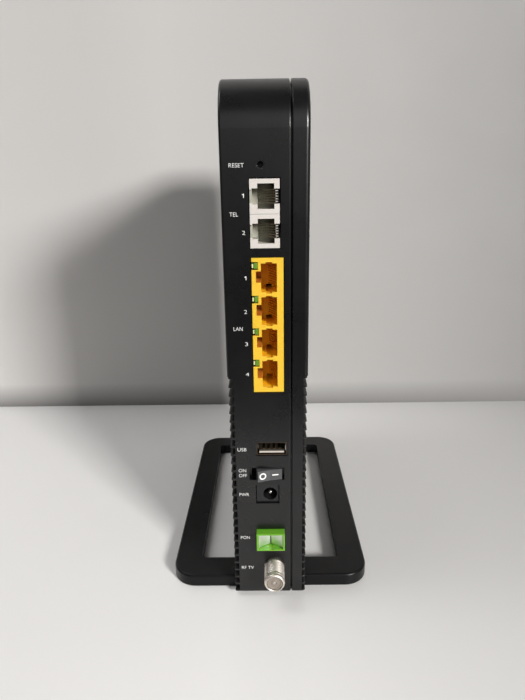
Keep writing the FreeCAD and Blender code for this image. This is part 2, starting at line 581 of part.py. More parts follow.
def network_jacks():
    front = from_face("jack_recess")
    near = front + " - through"
    wall = "lan_port_x + lan_port_wide"
    deep = "lan_port_deep + through"
    block = box("lan_block", ("lan_x", front, "lan_low"), ("lan_wide", "lan_deep", "lan_high"))
    count = int(size("lan_wires"))
    holes = []
    for i, row in ((1, 3), (2, 2), (3, 1), (4, 0)):
        low = f"lan_first + {row} * lan_pitch"
        middle = f"{low} + lan_port_high / 2"
        holes.append(box("lan_port", ("lan_port_x", near, low), ("lan_port_wide", deep, "lan_port_high")))
        holes.append(middle_box("lan_key", ("lan_port_x + lan_port_wide / 2", near, middle),
                                ("lan_key_wide", deep, "lan_port_high + 2 * lan_key_high")))
        holes.append(middle_box("lan_latch", ("lan_port_x", near, f"{middle} + lan_latch_above"),
                                ("2 * lan_latch_wide", deep, "lan_latch_high")))
        holes.append(box("lan_drain", ("lan_port_x + lan_port_wide / 2 - lan_slot_wide / 2", near,
                                       f"{low} - lan_key_high"),
                         ("lan_slot_wide", "lan_deep + 2 * through", "lan_slot_high + lan_key_high")))
        first = f"{middle} - (lan_wires - 1) / 2 * wire_pitch"
        holes += comb_slots("lan_slot", wall, front + " + comb_start", first, count,
                            "lan_port_deep - comb_start")
        led_low = f"{low} + led_above"
        holes.append(box("led_pocket", ("lan_x - through", near, f"{led_low} - 2 * led_play"),
                         ("led_wide + through + led_play", "led_deep + through",
                          "led_high + 4 * led_play")))
        node(f"lan_led_{i}", box(f"lan_led_{i}", ("lan_x + led_play", front + " + led_play", led_low),
                                 ("led_wide - led_play", "led_deep - 2 * led_play", "led_high")))
        wires = wire_comb("lan_wire", f"{wall} + wire_seat", first, count, "lan_wire_long", "lan_wire_turn")
        node(f"lan_contacts_{i}", group(f"lan_contacts_{i}", *wires))
    node("lan_jack_block", cut("lan_jack_block", block, *holes))


def usb_socket():
    front = from_face("usb_recess")
    can = middle_box("usb_can", ("usb_x", front, "usb_z"), ("usb_wide", "usb_deep", "usb_high"))
    room = middle_box("usb_room", ("usb_x", front + " - through", "usb_z"),
                      ("usb_wide - 2 * usb_wall", "usb_deep + through - usb_wall",
                       "usb_high - 2 * usb_wall"))
    node("usb_shell", cut("usb_shell", can, room))
    low = "usb_z - usb_high / 2 + usb_wall + tongue_above"
    node("usb_tongue", box("usb_tongue", ("usb_x - tongue_wide / 2", front + " + tongue_start", low),
                           ("tongue_wide", "usb_deep - usb_wall - tongue_start", "tongue_high")))
    pads = [box("usb_pad",
                (f"usb_x + {k} * pad_pitch - pad_wide / 2", front + " + pad_start", low + " + tongue_high"),
                ("pad_wide", "usb_deep - usb_wall - pad_start", "pad_thick")) for k in (-1.5, -0.5, 0.5,
                                                                                        1.5)]
    node("usb_contacts", group("usb_contacts", *pads))


def rocker_switch():
    pivot = ("rocker_x", from_face("rocker_deep"), "rocker_z")
    housing = middle_box("rocker_housing", ("rocker_x", from_face("case_wall"), "rocker_z"),
                         ("2 * frame_half", "frame_back - case_wall", "frame_high"))
    cavity = middle_box("rocker_cavity", ("rocker_x", from_face("case_wall - through"), "rocker_z"),
                        ("2 * cavity_half", "rocker_deep + cavity_back - case_wall + through",
                         "cavity_high"))
    pivot_hole = rod("rocker_pivot_hole", "z",
                     (pivot[0], pivot[1], "rocker_z - cap_high / 2 - pin_reach - pin_end_play"),
                     "pin_radius + pin_play", "cap_high + 2 * pin_reach + 2 * pin_end_play")
    node("rocker_frame", cut("rocker_frame", housing, cavity, pivot_hole))
    # the cap is drawn upright about its pivot, then tilted as a whole
    cap = middle_box("cap_blank", ("0", "-rocker_face - cap_half * tan(rocker_vee)", "0"),
                     ("2 * cap_half", "cap_body", "cap_high"))
    stem = middle_box("cap_stem", ("0", "-rocker_face + cap_body - stem_bite", "0"),
                      ("2 * stem_half", "rocker_face + stem_back - cap_body + stem_bite", "cap_high"))
    pin = rod("cap_pin", "z", ("0", "0", "-cap_high / 2 - pin_reach"), "pin_radius",
              "cap_high + 2 * pin_reach")
    slopes = []
    for side in (-1, 1):
        slope = middle_box("cap_slope", ("0", "-rocker_face", "0"), ("4 * cap_half", "4", "2 * cap_high"))
        turn = FreeCAD.Rotation(FreeCAD.Vector(0, 0, 1), -side * size("rocker_vee"))
        slope.Placement.Rotation = turn
        reach = turn.multVec(FreeCAD.Vector(side * size("2 * cap_half") - size("2 * cap_half"), -4, 0))
        for axis, text in (("x", f"{reach.x:.9f}"), ("y", f"-rocker_face + ({reach.y:.9f})")):
            slope.setExpression(f"Placement.Base.{axis}", cells(text))
        slopes.append(slope)
    paddle = cut("rocker_paddle", fuse("cap_solid", cap, stem, pin), *slopes)
    paddle.Placement.Rotation = FreeCAD.Rotation(FreeCAD.Vector(0, 0, 1), size("rocker_tilt"))
    node("rocker_paddle", place(paddle, pivot))
    blades = [box("rocker_blade", (f"rocker_x + {x}", from_face("frame_back"), "rocker_z - blade_wide / 2"),
                  ("blade_thick", "blade_long", "blade_wide")) for x in BLADE_SPOTS]
    node("rocker_terminals", group("rocker_terminals", *blades))


def power_inlet():
    front = from_face("inlet_recess")
    right = "inlet_x + inlet_wide - through"
    spring = f"{front} + spring_start"
    face = box("inlet_face", ("inlet_x", front, "inlet_low"), ("inlet_wide", "inlet_deep", "inlet_high"))
    foot = box("inlet_foot", (right, from_face("case_wall + inlet_behind"), "inlet_low"),
               (f"board_x - ({right})", "inlet_deep + inlet_recess - case_wall - inlet_behind",
                "inlet_high"))
    hole = rod("inlet_hole", "y", ("plug_x", front + " - through", "plug_z"), "plug_radius",
               "plug_deep + through")
    seat = rod("inlet_pin_seat", "y", ("plug_x", front, "plug_z"), "plug_pin", "inlet_deep + through")
    slot = box("inlet_spring_slot",
               ("plug_x - spring_wide / 2 - spring_play / 2", spring,
                "plug_z + plug_radius - spring_thick"),
               ("spring_wide + spring_play", "inlet_deep", "2 * spring_thick"))
    node("dc_jack_body", cut("dc_jack_body", fuse("inlet_block", face, foot), hole, seat, slot))
    node("dc_jack_pin", rod("dc_jack_pin", "y", ("plug_x", front + " + plug_pin_recess", "plug_z"),
                            "plug_pin", "inlet_deep - plug_pin_recess + through"))
    at = ("plug_x - spring_wide / 2", f"{spring} + spring_play",
          "plug_z + plug_radius - spring_thick + spring_play / 2")
    long = ("spring_wide", "inlet_deep - spring_start + plug_pin + 2 * spring_thick", "spring_thick")
    node("dc_jack_spring", box("dc_jack_spring", at, long))


def fibre_adapter():
    front = from_face("-pon_reach")
    near = front + " - through"
    block = middle_box("pon_block", ("pon_x", front, "pon_z"),
                       ("pon_wide", "pon_reach + pon_deep", "pon_high"))
    port = middle_box("pon_port", ("pon_x", near, "pon_z"),
                      ("pon_port_wide", "pon_port_deep + through", "pon_port_high"))
    start = from_face("sleeve_start")
    holder = rod("pon_holder", "y", ("pon_x", start + " + through", "pon_z"), "holder_radius",
                 "pon_deep - sleeve_start - 2 * through")
    hollowed = fuse("pon_body", cut("pon_walls", block, port), holder)
    holes = [rod("pon_sleeve_seat", "y", ("pon_x", start, "pon_z"), "sleeve_radius + thread_play",
                 "pon_deep")]
    holes.append(box("pon_keyway",
                     ("pon_x - keyway_wide / 2", near, "pon_z - pon_port_high / 2 - keyway_deep"),
                     ("keyway_wide", "pon_port_deep", "keyway_deep + through")))
    hinge_y = front + " + leaf_inset"
    pin_high = "leaf_high + 2 * leaf_pin_reach"
    seat = ("leaf_pin + leaf_pin_play", f"{pin_high} + 2 * leaf_pin_play")
    for name, side in (("pon_shutter_left", -1), ("pon_shutter_right", 1)):
        hinge_x = f"pon_x + {side} * leaf_hinge"
        holes.append(rod("leaf_seat", "z", (hinge_x, hinge_y, f"pon_z - ({pin_high}) / 2 - leaf_pin_play"),
                         *seat))
        blade = box("leaf_blade", ("0" if side < 0 else "-leaf_long", "-leaf_thick / 2", "-leaf_high / 2"),
                    ("leaf_long", "leaf_thick", "leaf_high"))
        pin = rod("leaf_pin", "z", ("0", "0", f"-({pin_high}) / 2"), "leaf_pin", pin_high)
        leaf = fuse(name, blade, pin)
        leaf.Placement.Rotation = FreeCAD.Rotation(FreeCAD.Vector(0, 0, 1), -side * size("leaf_angle"))
        node(name, place(leaf, (hinge_x, hinge_y, "pon_z")))
    node("pon_adapter", cut("pon_adapter", hollowed, *holes))
    tube = rod("sleeve_tube", "y", ("pon_x", start, "pon_z"), "sleeve_radius", "sleeve_long")
    bore = rod("sleeve_bore_cut", "y", ("pon_x", start + " - through", "pon_z"), "sleeve_bore",
               "sleeve_long + 2 * through")
    node("pon_ferrule_sleeve", cut("pon_ferrule_sleeve", tube, bore))
    side = "module_side / 2"
    node("pon_module", box("pon_module", (f"pon_x - {side}", from_face("pon_deep"), f"pon_z - {side}"),
                           (f"board_x - pon_x + {side}", "module_long", "module_side")))


def television_connector():
    tip = from_face("-rf_reach")
    thread = rod("rf_thread", "y", ("rf_x", tip + " + rf_chamfer", "rf_z"), "rf_radius",
                 "rf_reach - rf_chamfer")
    neck = rod("rf_neck", "y", ("rf_x", "face_y - through", "rf_z"), "rf_neck", "rf_back + through")
    nose = doc.addObject("Part::Cone", "rf_nose")
    bind(nose, Radius1="rf_radius - rf_chamfer", Radius2="rf_radius", Height="rf_chamfer")
    nose.Placement = FreeCAD.Placement(FreeCAD.Vector(), FreeCAD.Rotation(*AXES["y"]))
    place(nose, ("rf_x", tip, "rf_z"))
    collar = rod("rf_collar_disc", "y", ("rf_x", from_face("case_wall"), "rf_z"), "rf_collar",
                 "rf_collar_thick")
    bore = rod("rf_bore_cut", "y", ("rf_x", tip + " - through", "rf_z"), "rf_bore", "rf_reach + rf_back")
    node("rf_barrel", cut("rf_barrel", fuse("rf_solid", thread, nose, neck, collar), bore))
    plug = rod("rf_plug", "y", ("rf_x", tip + " + rf_bore_recess", "rf_z"), "rf_bore",
               "rf_reach + rf_back - rf_bore_recess - through")
    hole = rod("rf_plug_hole", "y", ("rf_x", tip, "rf_z"), "rf_contact", "rf_reach + rf_back")
    node("rf_insulator", cut("rf_insulator", plug, hole))
    tube = rod("rf_contact_tube", "y", ("rf_x", tip + " + rf_contact_recess", "rf_z"), "rf_contact",
               "rf_reach + rf_back - rf_contact_recess - through")
    inner = rod("rf_contact_hole", "y", ("rf_x", tip, "rf_z"), "rf_contact_bore",
                "rf_reach + rf_contact_deep")
    node("rf_contact", cut("rf_contact", tube, inner))


def reset_switch():
    front = from_face("reset_body")
    side = "switch_wide / 2"
    body = middle_box("reset_block", ("reset_x", front, "reset_z"),
                      ("switch_wide", "switch_deep", "switch_wide"))
    arm = box("reset_arm", (f"reset_x + {side} - through", front, f"reset_z - {side}"),
              (f"board_x - reset_x - {side} + through", "switch_deep", "switch_wide"))
    hole = rod("reset_bore", "y", ("reset_x", front + " - through", "reset_z"), "plunger_bore",
               "pocket_deep + through")
    node("reset_switch_body", cut("reset_switch_body", fuse("reset_solid", body, arm), hole))
    node("reset_plunger", rod("reset_plunger", "y", ("reset_x", from_face("plunger_start"), "reset_z"),
                              "plunger_radius", "plunger_long"))


def pairing_button():
    inner = from_face("case_deep + pair_proud - pair_cap_thick")
    side = "switch_wide / 2"
    cap = middle_box("pair_cap_block", ("pair_x", inner, "pair_z"),
                     ("pair_cap", "pair_cap_thick", "pair_cap"))
    stem = rod("pair_stem_rod", "y", ("pair_x", inner + " - pair_stem_long", "pair_z"), "pair_stem",
               "pair_stem_long + through")
    node("wps_button", fuse("wps_button", cap, stem))
    near = inner + " - pair_stem_long - pair_body_gap - switch_deep"
    node("wps_switch_body", box("wps_switch_body", (f"pair_x - {side}", near, f"pair_z - {side}"),
                                (f"board_x - pair_x + {side}", "switch_deep", "switch_wide")))


def status_lights():
    inner = from_face("case_deep - light_thick")
    near = inner + " - fin_deep"
    strip = box("light_strip",
                ("light_x - light_wide / 2 + light_play", inner + " - light_inset",
                 "light_low + light_play"),
                ("light_wide - 2 * light_play", "light_thick", "light_high - 2 * light_play"))
    fins = []
    chips = []
    for i in range(int(size("light_fins"))):
        middle = f"light_low + light_high / 2 + ({i} - (light_fins - 1) / 2) * fin_pitch"
        low = f"{middle} - fin_thick / 2"
        fins.append(box("light_fin", ("light_x - rib_half", near, low),
                        ("board_x - fin_clear - light_x + rib_half", "fin_deep - fin_short", "fin_thick")))
        fins.append(box("light_rib", ("light_x - rib_half", inner + " - rib_deep", low),
                        ("2 * rib_half", "rib_deep", "fin_thick")))
        chips.append(box("status_led",
                         ("board_x - led_chip", near + " - led_gap - led_chip_deep",
                          f"{middle} - led_chip_high / 2"),
                         ("led_chip", "led_chip_deep", "led_chip_high")))
    node("status_light_guide", fuse("status_light_guide", strip, *fins))
    node("status_leds", group("status_leds", *chips))


main_shell()
side_cover()
stand()
cover_screws()
main_board()
board_components()
telephone_jacks()
network_jacks()
usb_socket()
rocker_switch()
power_inlet()
fibre_adapter()
television_connector()
reset_switch()
pairing_button()
status_lights()
doc.recompute()

for thing in doc.Objects:
    if "Invalid" in thing.State or "Error" in thing.State:
        raise RuntimeError(f"{thing.Label} did not compute: {thing.State}")
for thing in NODES:
    if thing.Shape.isNull() or not thing.Shape.isValid() or not thing.Shape.Solids:
        raise RuntimeError(f"{thing.Label} has no sound solid")
os.makedirs("parts", exist_ok=True)
for thing in NODES:
    thing.Shape.exportStep(f"parts/{thing.Label}.step")
    print(f"{thing.Label}: {len(thing.Shape.Solids)} solid, {thing.Shape.Volume:.1f} mm3")
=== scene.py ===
import json
import math

import bmesh
import bpy
from mathutils import Matrix, Vector


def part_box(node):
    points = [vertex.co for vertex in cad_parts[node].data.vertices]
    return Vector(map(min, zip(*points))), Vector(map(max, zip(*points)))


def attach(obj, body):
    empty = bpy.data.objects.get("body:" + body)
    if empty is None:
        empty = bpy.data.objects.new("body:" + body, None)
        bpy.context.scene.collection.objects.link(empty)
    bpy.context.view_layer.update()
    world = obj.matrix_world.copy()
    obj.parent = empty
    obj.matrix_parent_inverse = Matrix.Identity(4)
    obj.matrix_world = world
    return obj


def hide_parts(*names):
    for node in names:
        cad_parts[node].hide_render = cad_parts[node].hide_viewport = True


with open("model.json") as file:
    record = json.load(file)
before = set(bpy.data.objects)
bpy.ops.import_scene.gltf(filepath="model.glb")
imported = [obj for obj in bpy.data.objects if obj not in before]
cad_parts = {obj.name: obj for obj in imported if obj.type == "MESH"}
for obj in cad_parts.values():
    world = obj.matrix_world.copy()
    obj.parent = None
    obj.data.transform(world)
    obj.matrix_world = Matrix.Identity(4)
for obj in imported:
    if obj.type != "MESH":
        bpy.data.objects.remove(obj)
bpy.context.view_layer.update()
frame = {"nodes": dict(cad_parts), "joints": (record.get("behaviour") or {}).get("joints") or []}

MM = 0.001
NODES = frame["nodes"]
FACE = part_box("main_shell")[0].y  # the port face


# ---------------------------------------------------------------- node graphs

class Graph:
    """A material's node tree with short ways to add what every finish here uses."""

    def __init__(self, name):
        self.material = bpy.data.materials.new(name)
        self.material.use_nodes = True
        self.tree = self.material.node_tree
        self.tree.nodes.clear()
        self.output = self.add("OutputMaterial")
        self.shader = self.add("BsdfPrincipled")
        self.link(self.shader.outputs[0], self.output.inputs["Surface"])
        self.place = self.add("TexCoord").outputs["Object"]
        self.geometry = self.add("NewGeometry")

    def add(self, kind, **settings):
        node = self.tree.nodes.new("ShaderNode" + kind)
        for key, value in settings.items():
            setattr(node, key, value)
        return node

    def link(self, source, target):
        self.tree.links.new(source, target)

    def feed(self, target, value):
        if hasattr(value, "is_linked"):
            self.link(value, target)
        else:
            target.default_value = value

    def math(self, operation, *values, clamp=False):
        node = self.add("Math", operation=operation, use_clamp=clamp)
        for socket, value in zip(node.inputs, values):
            self.feed(socket, value)
        return node.outputs[0]

    def noise(self, size_mm, detail=3.0, rough=0.55, stretch=(1, 1, 1), distortion=0.0):
        """Noise between 0 and 1 whose lumps are about size_mm across."""
        mapping = self.add("Mapping")
        mapping.inputs["Scale"].default_value = stretch
        self.link(self.place, mapping.inputs["Vector"])
        node = self.add("TexNoise")
        self.link(mapping.outputs[0], node.inputs["Vector"])
        node.inputs["Scale"].default_value = 1 / (size_mm * MM)
        node.inputs["Detail"].default_value = detail
        node.inputs["Roughness"].default_value = rough
        node.inputs["Distortion"].default_value = distortion
        return node.outputs["Fac"]

    def ramp(self, value, low, high, start=0.0, end=1.0):
        node = self.add("MapRange", clamp=True)
        self.feed(node.inputs["Value"], value)
        for key, number in (("From Min", low), ("From Max", high), ("To Min", start), ("To Max", end)):
            node.inputs[key].default_value = number
        return node.outputs[0]

    def mix(self, amount, first, second):
        node = self.add("Mix", data_type="RGBA")
        self.feed(node.inputs["Factor"], amount)
        for socket, value in ((node.inputs[6], first), (node.inputs[7], second)):
            self.feed(socket, value if hasattr(value, "is_linked") else (*value[:3], 1.0))
        return node.outputs[2]

    def axis(self, source, name):
        node = self.add("SeparateXYZ")
        self.link(source, node.inputs[0])
        return node.outputs[name]

    def rounded(self, radius_mm):
        """The surface normal as if every sharp edge had a small radius."""
        node = self.add("Bevel", samples=4)
        node.inputs["Radius"].default_value = radius_mm * MM
        return node.outputs[0]

    def edges(self, normal, gain):
        """1 on sharp edges and 0 on flat ground."""
        node = self.add("VectorMath", operation="DOT_PRODUCT")
        self.link(normal, node.inputs[0])
        self.link(self.geometry.outputs["True Normal"], node.inputs[1])
        return self.math("MULTIPLY", self.math("SUBTRACT", 1.0, node.outputs["Value"]), gain, clamp=True)

    def hollow(self, reach_mm):
        """0 far down in a gap and 1 on open ground; the mask for painted shade."""
        node = self.add("AmbientOcclusion", samples=4)
        node.inputs["Distance"].default_value = reach_mm * MM
        return self.ramp(node.outputs["AO"], 0.15, 0.6)

    def bump(self, height, depth_mm, strength, normal=None):
        node = self.add("Bump")
        node.inputs["Strength"].default_value = strength
        node.inputs["Distance"].default_value = depth_mm * MM
        self.link(height, node.inputs["Height"])
        if normal is not None:
            self.link(normal, node.inputs["Normal"])
        return node.outputs[0]

    def finish(self, colour, roughness, normal, **constants):
        self.feed(self.shader.inputs["Base Color"], colour if hasattr(colour, "is_linked") else (*colour, 1.0))
        self.feed(self.shader.inputs["Roughness"], roughness)
        self.link(normal, self.shader.inputs["Normal"])
        for key, value in constants.items():
            self.shader.inputs[key.replace("_", " ")].default_value = value
        return self.material


DUST = (0.36, 0.35, 0.33)
# near-black colour for painted shade in gaps and slots
PAINTED_SHADE = (0.001, 0.001, 0.001)
RUBBED_GREY = 0.32


def scaled(colour, factor):
    return tuple(min(1.0, c * factor) for c in colour)


def moulded(name, colour, rough, grain_mm=0.22, grain=0.35, edge_mm=0.18, worn=0.35, dust=0.25,
            specular=0.5, patch=0.12):
    """Injection-moulded plastic: fine spark grain, cloudy gloss, rubbed edges, a little dust and painted shade in
    its gaps.
    """
    g = Graph(name)
    cloud = g.noise(26, 4, 0.6, distortion=0.4)
    fine = g.noise(grain_mm, 2, 0.5)
    normal = g.rounded(edge_mm)
    edge = g.edges(normal, 3.0)
    base = g.mix(cloud, scaled(colour, 1 - patch), scaled(colour, 1 + patch))
    rubbed = tuple(c + (RUBBED_GREY - c) * 0.35 if max(colour) < 0.2 else min(1, c * 1.15 + 0.02) for c in colour)
    wear = g.math("MULTIPLY", g.math("MULTIPLY", edge, g.ramp(g.noise(3, 3), 0.42, 0.68)), worn)
    base = g.mix(wear, base, rubbed)
    # painted shade: the colour goes near-black in gaps and slots
    base = g.mix(g.hollow(2.5), PAINTED_SHADE, base)
    up = g.ramp(g.axis(g.geometry.outputs["Normal"], "Z"), 0.55, 0.95)
    specks = g.ramp(g.noise(0.9, 5, 0.75), 0.63, 0.78)
    film = g.ramp(g.noise(9, 5, 0.65), 0.35, 0.8, 0.05, 0.35)
    settled = g.math("ADD", g.math("MULTIPLY", specks, 0.5), g.math("MULTIPLY", up, film))
    dusty = g.math("MULTIPLY", settled, dust, clamp=True)
    base = g.mix(dusty, base, DUST)
    cloudy = g.math("ADD", g.math("MULTIPLY", cloud, 0.7), g.math("MULTIPLY", g.noise(2.5, 4), 0.3))
    gloss = g.ramp(cloudy, 0.3, 0.7, *rough)
    gloss = g.math("ADD", gloss, g.math("MULTIPLY", dusty, 0.2), clamp=True)
    relief = g.bump(fine, 0.02, grain, normal)
    return g.finish(base, gloss, relief, Specular_IOR_Level=specular)


def connector_plastic(name, colour, painted_depth_tone, front_y, reach_mm, rough=(0.28, 0.4), translucent=0.08,
                      edge_mm=0.12, rim=0.25, scatter_mm=1.5, far=None, pocket_shade=None):
    """Bright smooth plastic with a little grime, painted shade and painted bounced light down its openings, and a
    painted highlight on its edges.
    far is (tone, x from, x to) for painted shade on the far side of the openings, and the pocket tone and x
    give painted shade in the recesses left of x."""
    g = Graph(name)
    cloud = g.noise(7, 4, 0.6)
    normal = g.rounded(edge_mm)
    edge = g.edges(normal, 2.0)
    # painted shade and painted bounced light: the colour turns to the second tone down the openings
    depth = g.ramp(g.axis(g.place, "Y"), front_y + 0.4 * MM, front_y + reach_mm * MM)
    base = g.mix(cloud, scaled(colour, 0.94), scaled(colour, 1.04))
    # painted shade on the far side of the openings
    if far:
        tone, start, end = far
        painted_depth_tone = g.mix(g.ramp(g.axis(g.place, "X"), start, end), painted_depth_tone, tone)
    base = g.mix(depth, base, painted_depth_tone)
    # painted shade in the recesses left of x
    if pocket_shade:
        tone, edge_x = pocket_shade
        left = g.ramp(g.axis(g.place, "X"), edge_x - 0.05 * MM, edge_x + 0.02 * MM, 1.0, 0.0)
        below = g.ramp(g.axis(g.place, "Y"), front_y + 0.3 * MM, front_y + 0.6 * MM)
        base = g.mix(g.math("MULTIPLY", left, below), base, tone)
    base = g.mix(g.math("MULTIPLY", g.ramp(g.noise(1.2, 5, 0.7), 0.6, 0.8), 0.12), base, scaled(colour, 0.35))
    # painted highlight: edges lightened as if they caught the light
    base = g.mix(g.math("MULTIPLY", edge, rim), base, scaled(colour, 2.1))
    gloss = g.ramp(g.noise(3, 4), 0.3, 0.7, *rough)
    relief = g.bump(g.noise(0.5, 2), 0.01, 0.15, normal)
    return g.finish(base, gloss, relief, Subsurface_Weight=translucent, Subsurface_Scale=scatter_mm * MM)


def tongue_finish(name, top_z):
    """White plastic whose upper part is painted dark as the can's shade."""
    g = Graph(name)
    shaded_top = g.ramp(g.axis(g.place, "Z"), top_z - 0.06 * MM, top_z + 0.06 * MM)
    base = g.mix(g.noise(2, 3), (0.60, 0.56, 0.49), (0.66, 0.62, 0.55))
    # painted shade over the part above top_z
    base = g.mix(shaded_top, base, (0.035, 0.03, 0.024))
    gloss = g.ramp(g.noise(3, 3), 0.3, 0.7, 0.35, 0.5)
    return g.finish(base, gloss, g.bump(g.noise(0.5, 2), 0.01, 0.15, g.rounded(0.1)))


def metal(name, colour, rough, stretch, grain_mm, grain, tarnish, edge_mm=0.06):
    """Plated or drawn metal: directional scratches, patchy gloss and slight tarnish."""
    g = Graph(name)
    normal = g.rounded(edge_mm)
    drawn = g.noise(grain_mm, 4, 0.6, stretch)
    patches = g.noise(3.5, 4, 0.6)
    base = g.mix(g.ramp(patches, 0.45, 0.8), colour, scaled(colour, 1 - tarnish))
    base = g.mix(g.math("MULTIPLY", g.edges(normal, 2.0), 0.5), base, scaled(colour, 1.3))
    uneven = g.math("ADD", g.math("MULTIPLY", drawn, 0.5), g.math("MULTIPLY", patches, 0.5))
    gloss = g.ramp(uneven, 0.3, 0.7, *rough)
    relief = g.bump(drawn, 0.008, grain, normal)
    return g.finish(base, gloss, relief, Metallic=1.0)


def board_finish(name):
    """Green solder mask over copper tracks, with tinned dots where vias come through."""
    g = Graph(name)
    brick = g.add("TexVoronoi", feature="DISTANCE_TO_EDGE", distance="MANHATTAN")
    g.link(g.place, brick.inputs["Vector"])
    brick.inputs["Scale"].default_value = 1 / (5 * MM)
    track = g.ramp(brick.outputs["Distance"], 0.03, 0.06, 1.0, 0.0)
    dots = g.add("TexVoronoi", feature="F1")
    g.link(g.place, dots.inputs["Vector"])
    dots.inputs["Scale"].default_value = 1 / (3.2 * MM)
    via = g.ramp(dots.outputs["Distance"], 0.1, 0.14, 1.0, 0.0)
    base = g.mix(track, (0.01, 0.075, 0.03), (0.025, 0.15, 0.06))
    base = g.mix(via, base, (0.5, 0.5, 0.46))
    height = g.math("ADD", track, g.math("MULTIPLY", via, 0.6))
    gloss = g.ramp(g.noise(4, 4), 0.3, 0.7, 0.25, 0.45)
    return g.finish(base, gloss, g.bump(height, 0.04, 0.6, g.rounded(0.05)))


def print_finish(name):
    """Pad-printed white ink, slightly thin in places."""
    g = Graph(name)
    thin = g.ramp(g.noise(0.35, 4, 0.7), 0.55, 0.85)
    base = g.mix(g.math("MULTIPLY", thin, 0.35), (0.93, 0.93, 0.91), (0.5, 0.5, 0.5))
    return g.finish(base, g.ramp(thin, 0, 1, 0.5, 0.65), g.bump(g.noise(0.3, 2), 0.005, 0.2))


def lens_finish(name, colour, rough, through):
    """Tinted clear plastic with faint flow marks."""
    g = Graph(name)
    flow = g.noise(4, 4, 0.6, (1, 1, 0.4))
    base = g.mix(flow, scaled(colour, 0.85), scaled(colour, 1.15))
    gloss = g.ramp(g.noise(2, 3), 0.3, 0.7, rough, rough + 0.1)
    relief = g.bump(g.noise(0.8, 2), 0.01, 0.1, g.rounded(0.08))
    return g.finish(base, gloss, relief, Transmission_Weight=through, IOR=1.49)


TEL_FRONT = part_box("rj11_jack_1")[0].y
PON_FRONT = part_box("pon_adapter")[0].y
FINISH = {
    "case": moulded("case_plastic", (0.0058, 0.0058, 0.0061), (0.24, 0.34), grain=0.25, worn=0.6, dust=0.1),
    "stand": moulded("stand_plastic", (0.004, 0.004, 0.0044), (0.26, 0.38), grain=0.2, dust=0.05,
                     specular=0.22),
    "rubber": moulded("foot_rubber", (0.016, 0.016, 0.016), (0.7, 0.85), 0.4, 0.5, 0.2, 0.1, 0.5, 0.3),
    "switch": moulded("rocker_plastic", (0.07, 0.07, 0.073), (0.3, 0.44), 0.3, 0.9, 0.15, 0.6, 0.3, 0.5),
    "inlet": moulded("inlet_plastic", (0.009, 0.009, 0.01), (0.3, 0.45), 0.4, 0.15, 0.15, 0.4, 0.1, 0.5),
    "chip": moulded("chip_epoxy", (0.018, 0.018, 0.019), (0.5, 0.65), 0.12, 0.3, 0.08, 0.2, 0.2, 0.4),
    # In the jack, fibre and lamp plastics the second colour is painted shade and painted bounced light down the
    # openings, far and pocket tones are painted shade, and rim is a painted highlight on the edges
    "ivory": connector_plastic("tel_plastic", (0.70, 0.655, 0.615), (0.66, 0.66, 0.56), TEL_FRONT, 3,
                               far=((0.18, 0.142, 0.108), -2.2 * MM, 3.2 * MM),
                               pocket_shade=((0.44, 0.43, 0.36), -3.0 * MM)),
    "yellow": connector_plastic("lan_plastic", (0.95, 0.56, 0.048), (1.0, 0.56, 0.012), TEL_FRONT, 4,
                                translucent=0.3, scatter_mm=4.0, pocket_shade=((0.60, 0.23, 0.03), -2.25 * MM)),
    "green": connector_plastic("pon_plastic", (0.15, 0.44, 0.03), (0.12, 0.42, 0.02), PON_FRONT, 8,
                               translucent=0.35, edge_mm=0.3, rim=1.0, scatter_mm=2.5),
    "led": connector_plastic("led_plastic", (0.14, 0.30, 0.035), (0.04, 0.12, 0.01), TEL_FRONT, 1.2,
                             (0.15, 0.25), 0.3, edge_mm=0.3, rim=0.0),
    "diffuser": connector_plastic("led_diffuser", (0.74, 0.74, 0.36), (0.74, 0.74, 0.36), TEL_FRONT, 5),
    "white": connector_plastic("white_plastic", (0.82, 0.82, 0.78), (0.7, 0.7, 0.66), TEL_FRONT, 9),
    "tongue": tongue_finish("usb_tongue_plastic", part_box("usb_tongue")[0].z + 0.85 * MM),
    "print": print_finish("white_print"),
    "board": board_finish("board_mask"),
    "nickel": metal("connector_nickel", (0.84, 0.78, 0.70), (0.40, 0.50), (1, 4, 1), 0.4, 0.15, 0.15),
    "steel": metal("bright_steel", (0.66, 0.65, 0.63), (0.16, 0.3), (1, 0.2, 1), 0.25, 0.15, 0.2),
    "shutter": metal("shutter_steel", (0.90, 0.90, 0.89), (0.36, 0.46), (1, 1, 0.15), 0.3, 0.3, 0.1),
    # dark brown metal: painted shade for the USB can's mouth and the television contact down in their holes
    "shaded_tin": metal("usb_tin_shaded", (0.14, 0.105, 0.08), (0.26, 0.4), (1, 0.2, 1), 0.25, 0.15, 0.3),
    # dull dark metal: painted shade for the dark surroundings the telephone wires reflect
    "wire": metal("tel_wire", (0.36, 0.32, 0.26), (0.2, 0.34), (1, 1, 1), 0.3, 0.1, 0.3),
    "gold": metal("contact_gold", (0.80, 0.58, 0.24), (0.16, 0.3), (1, 1, 1), 0.3, 0.1, 0.25),
    "alloy": metal("sink_alloy", (0.55, 0.56, 0.58), (0.3, 0.45), (1, 0.1, 1), 0.4, 0.3, 0.15),
    "zinc": metal("screw_zinc", (0.48, 0.48, 0.50), (0.25, 0.4), (1, 1, 1), 0.5, 0.3, 0.3),
    "insulator": moulded("rf_insert", (0.26, 0.22, 0.185), (0.4, 0.55), 0.5, 0.5, 0.1, 0.3, 0.1, 0.5),
    "lens": lens_finish("smoked_lens", (0.03, 0.03, 0.035), 0.08, 0.35),
}

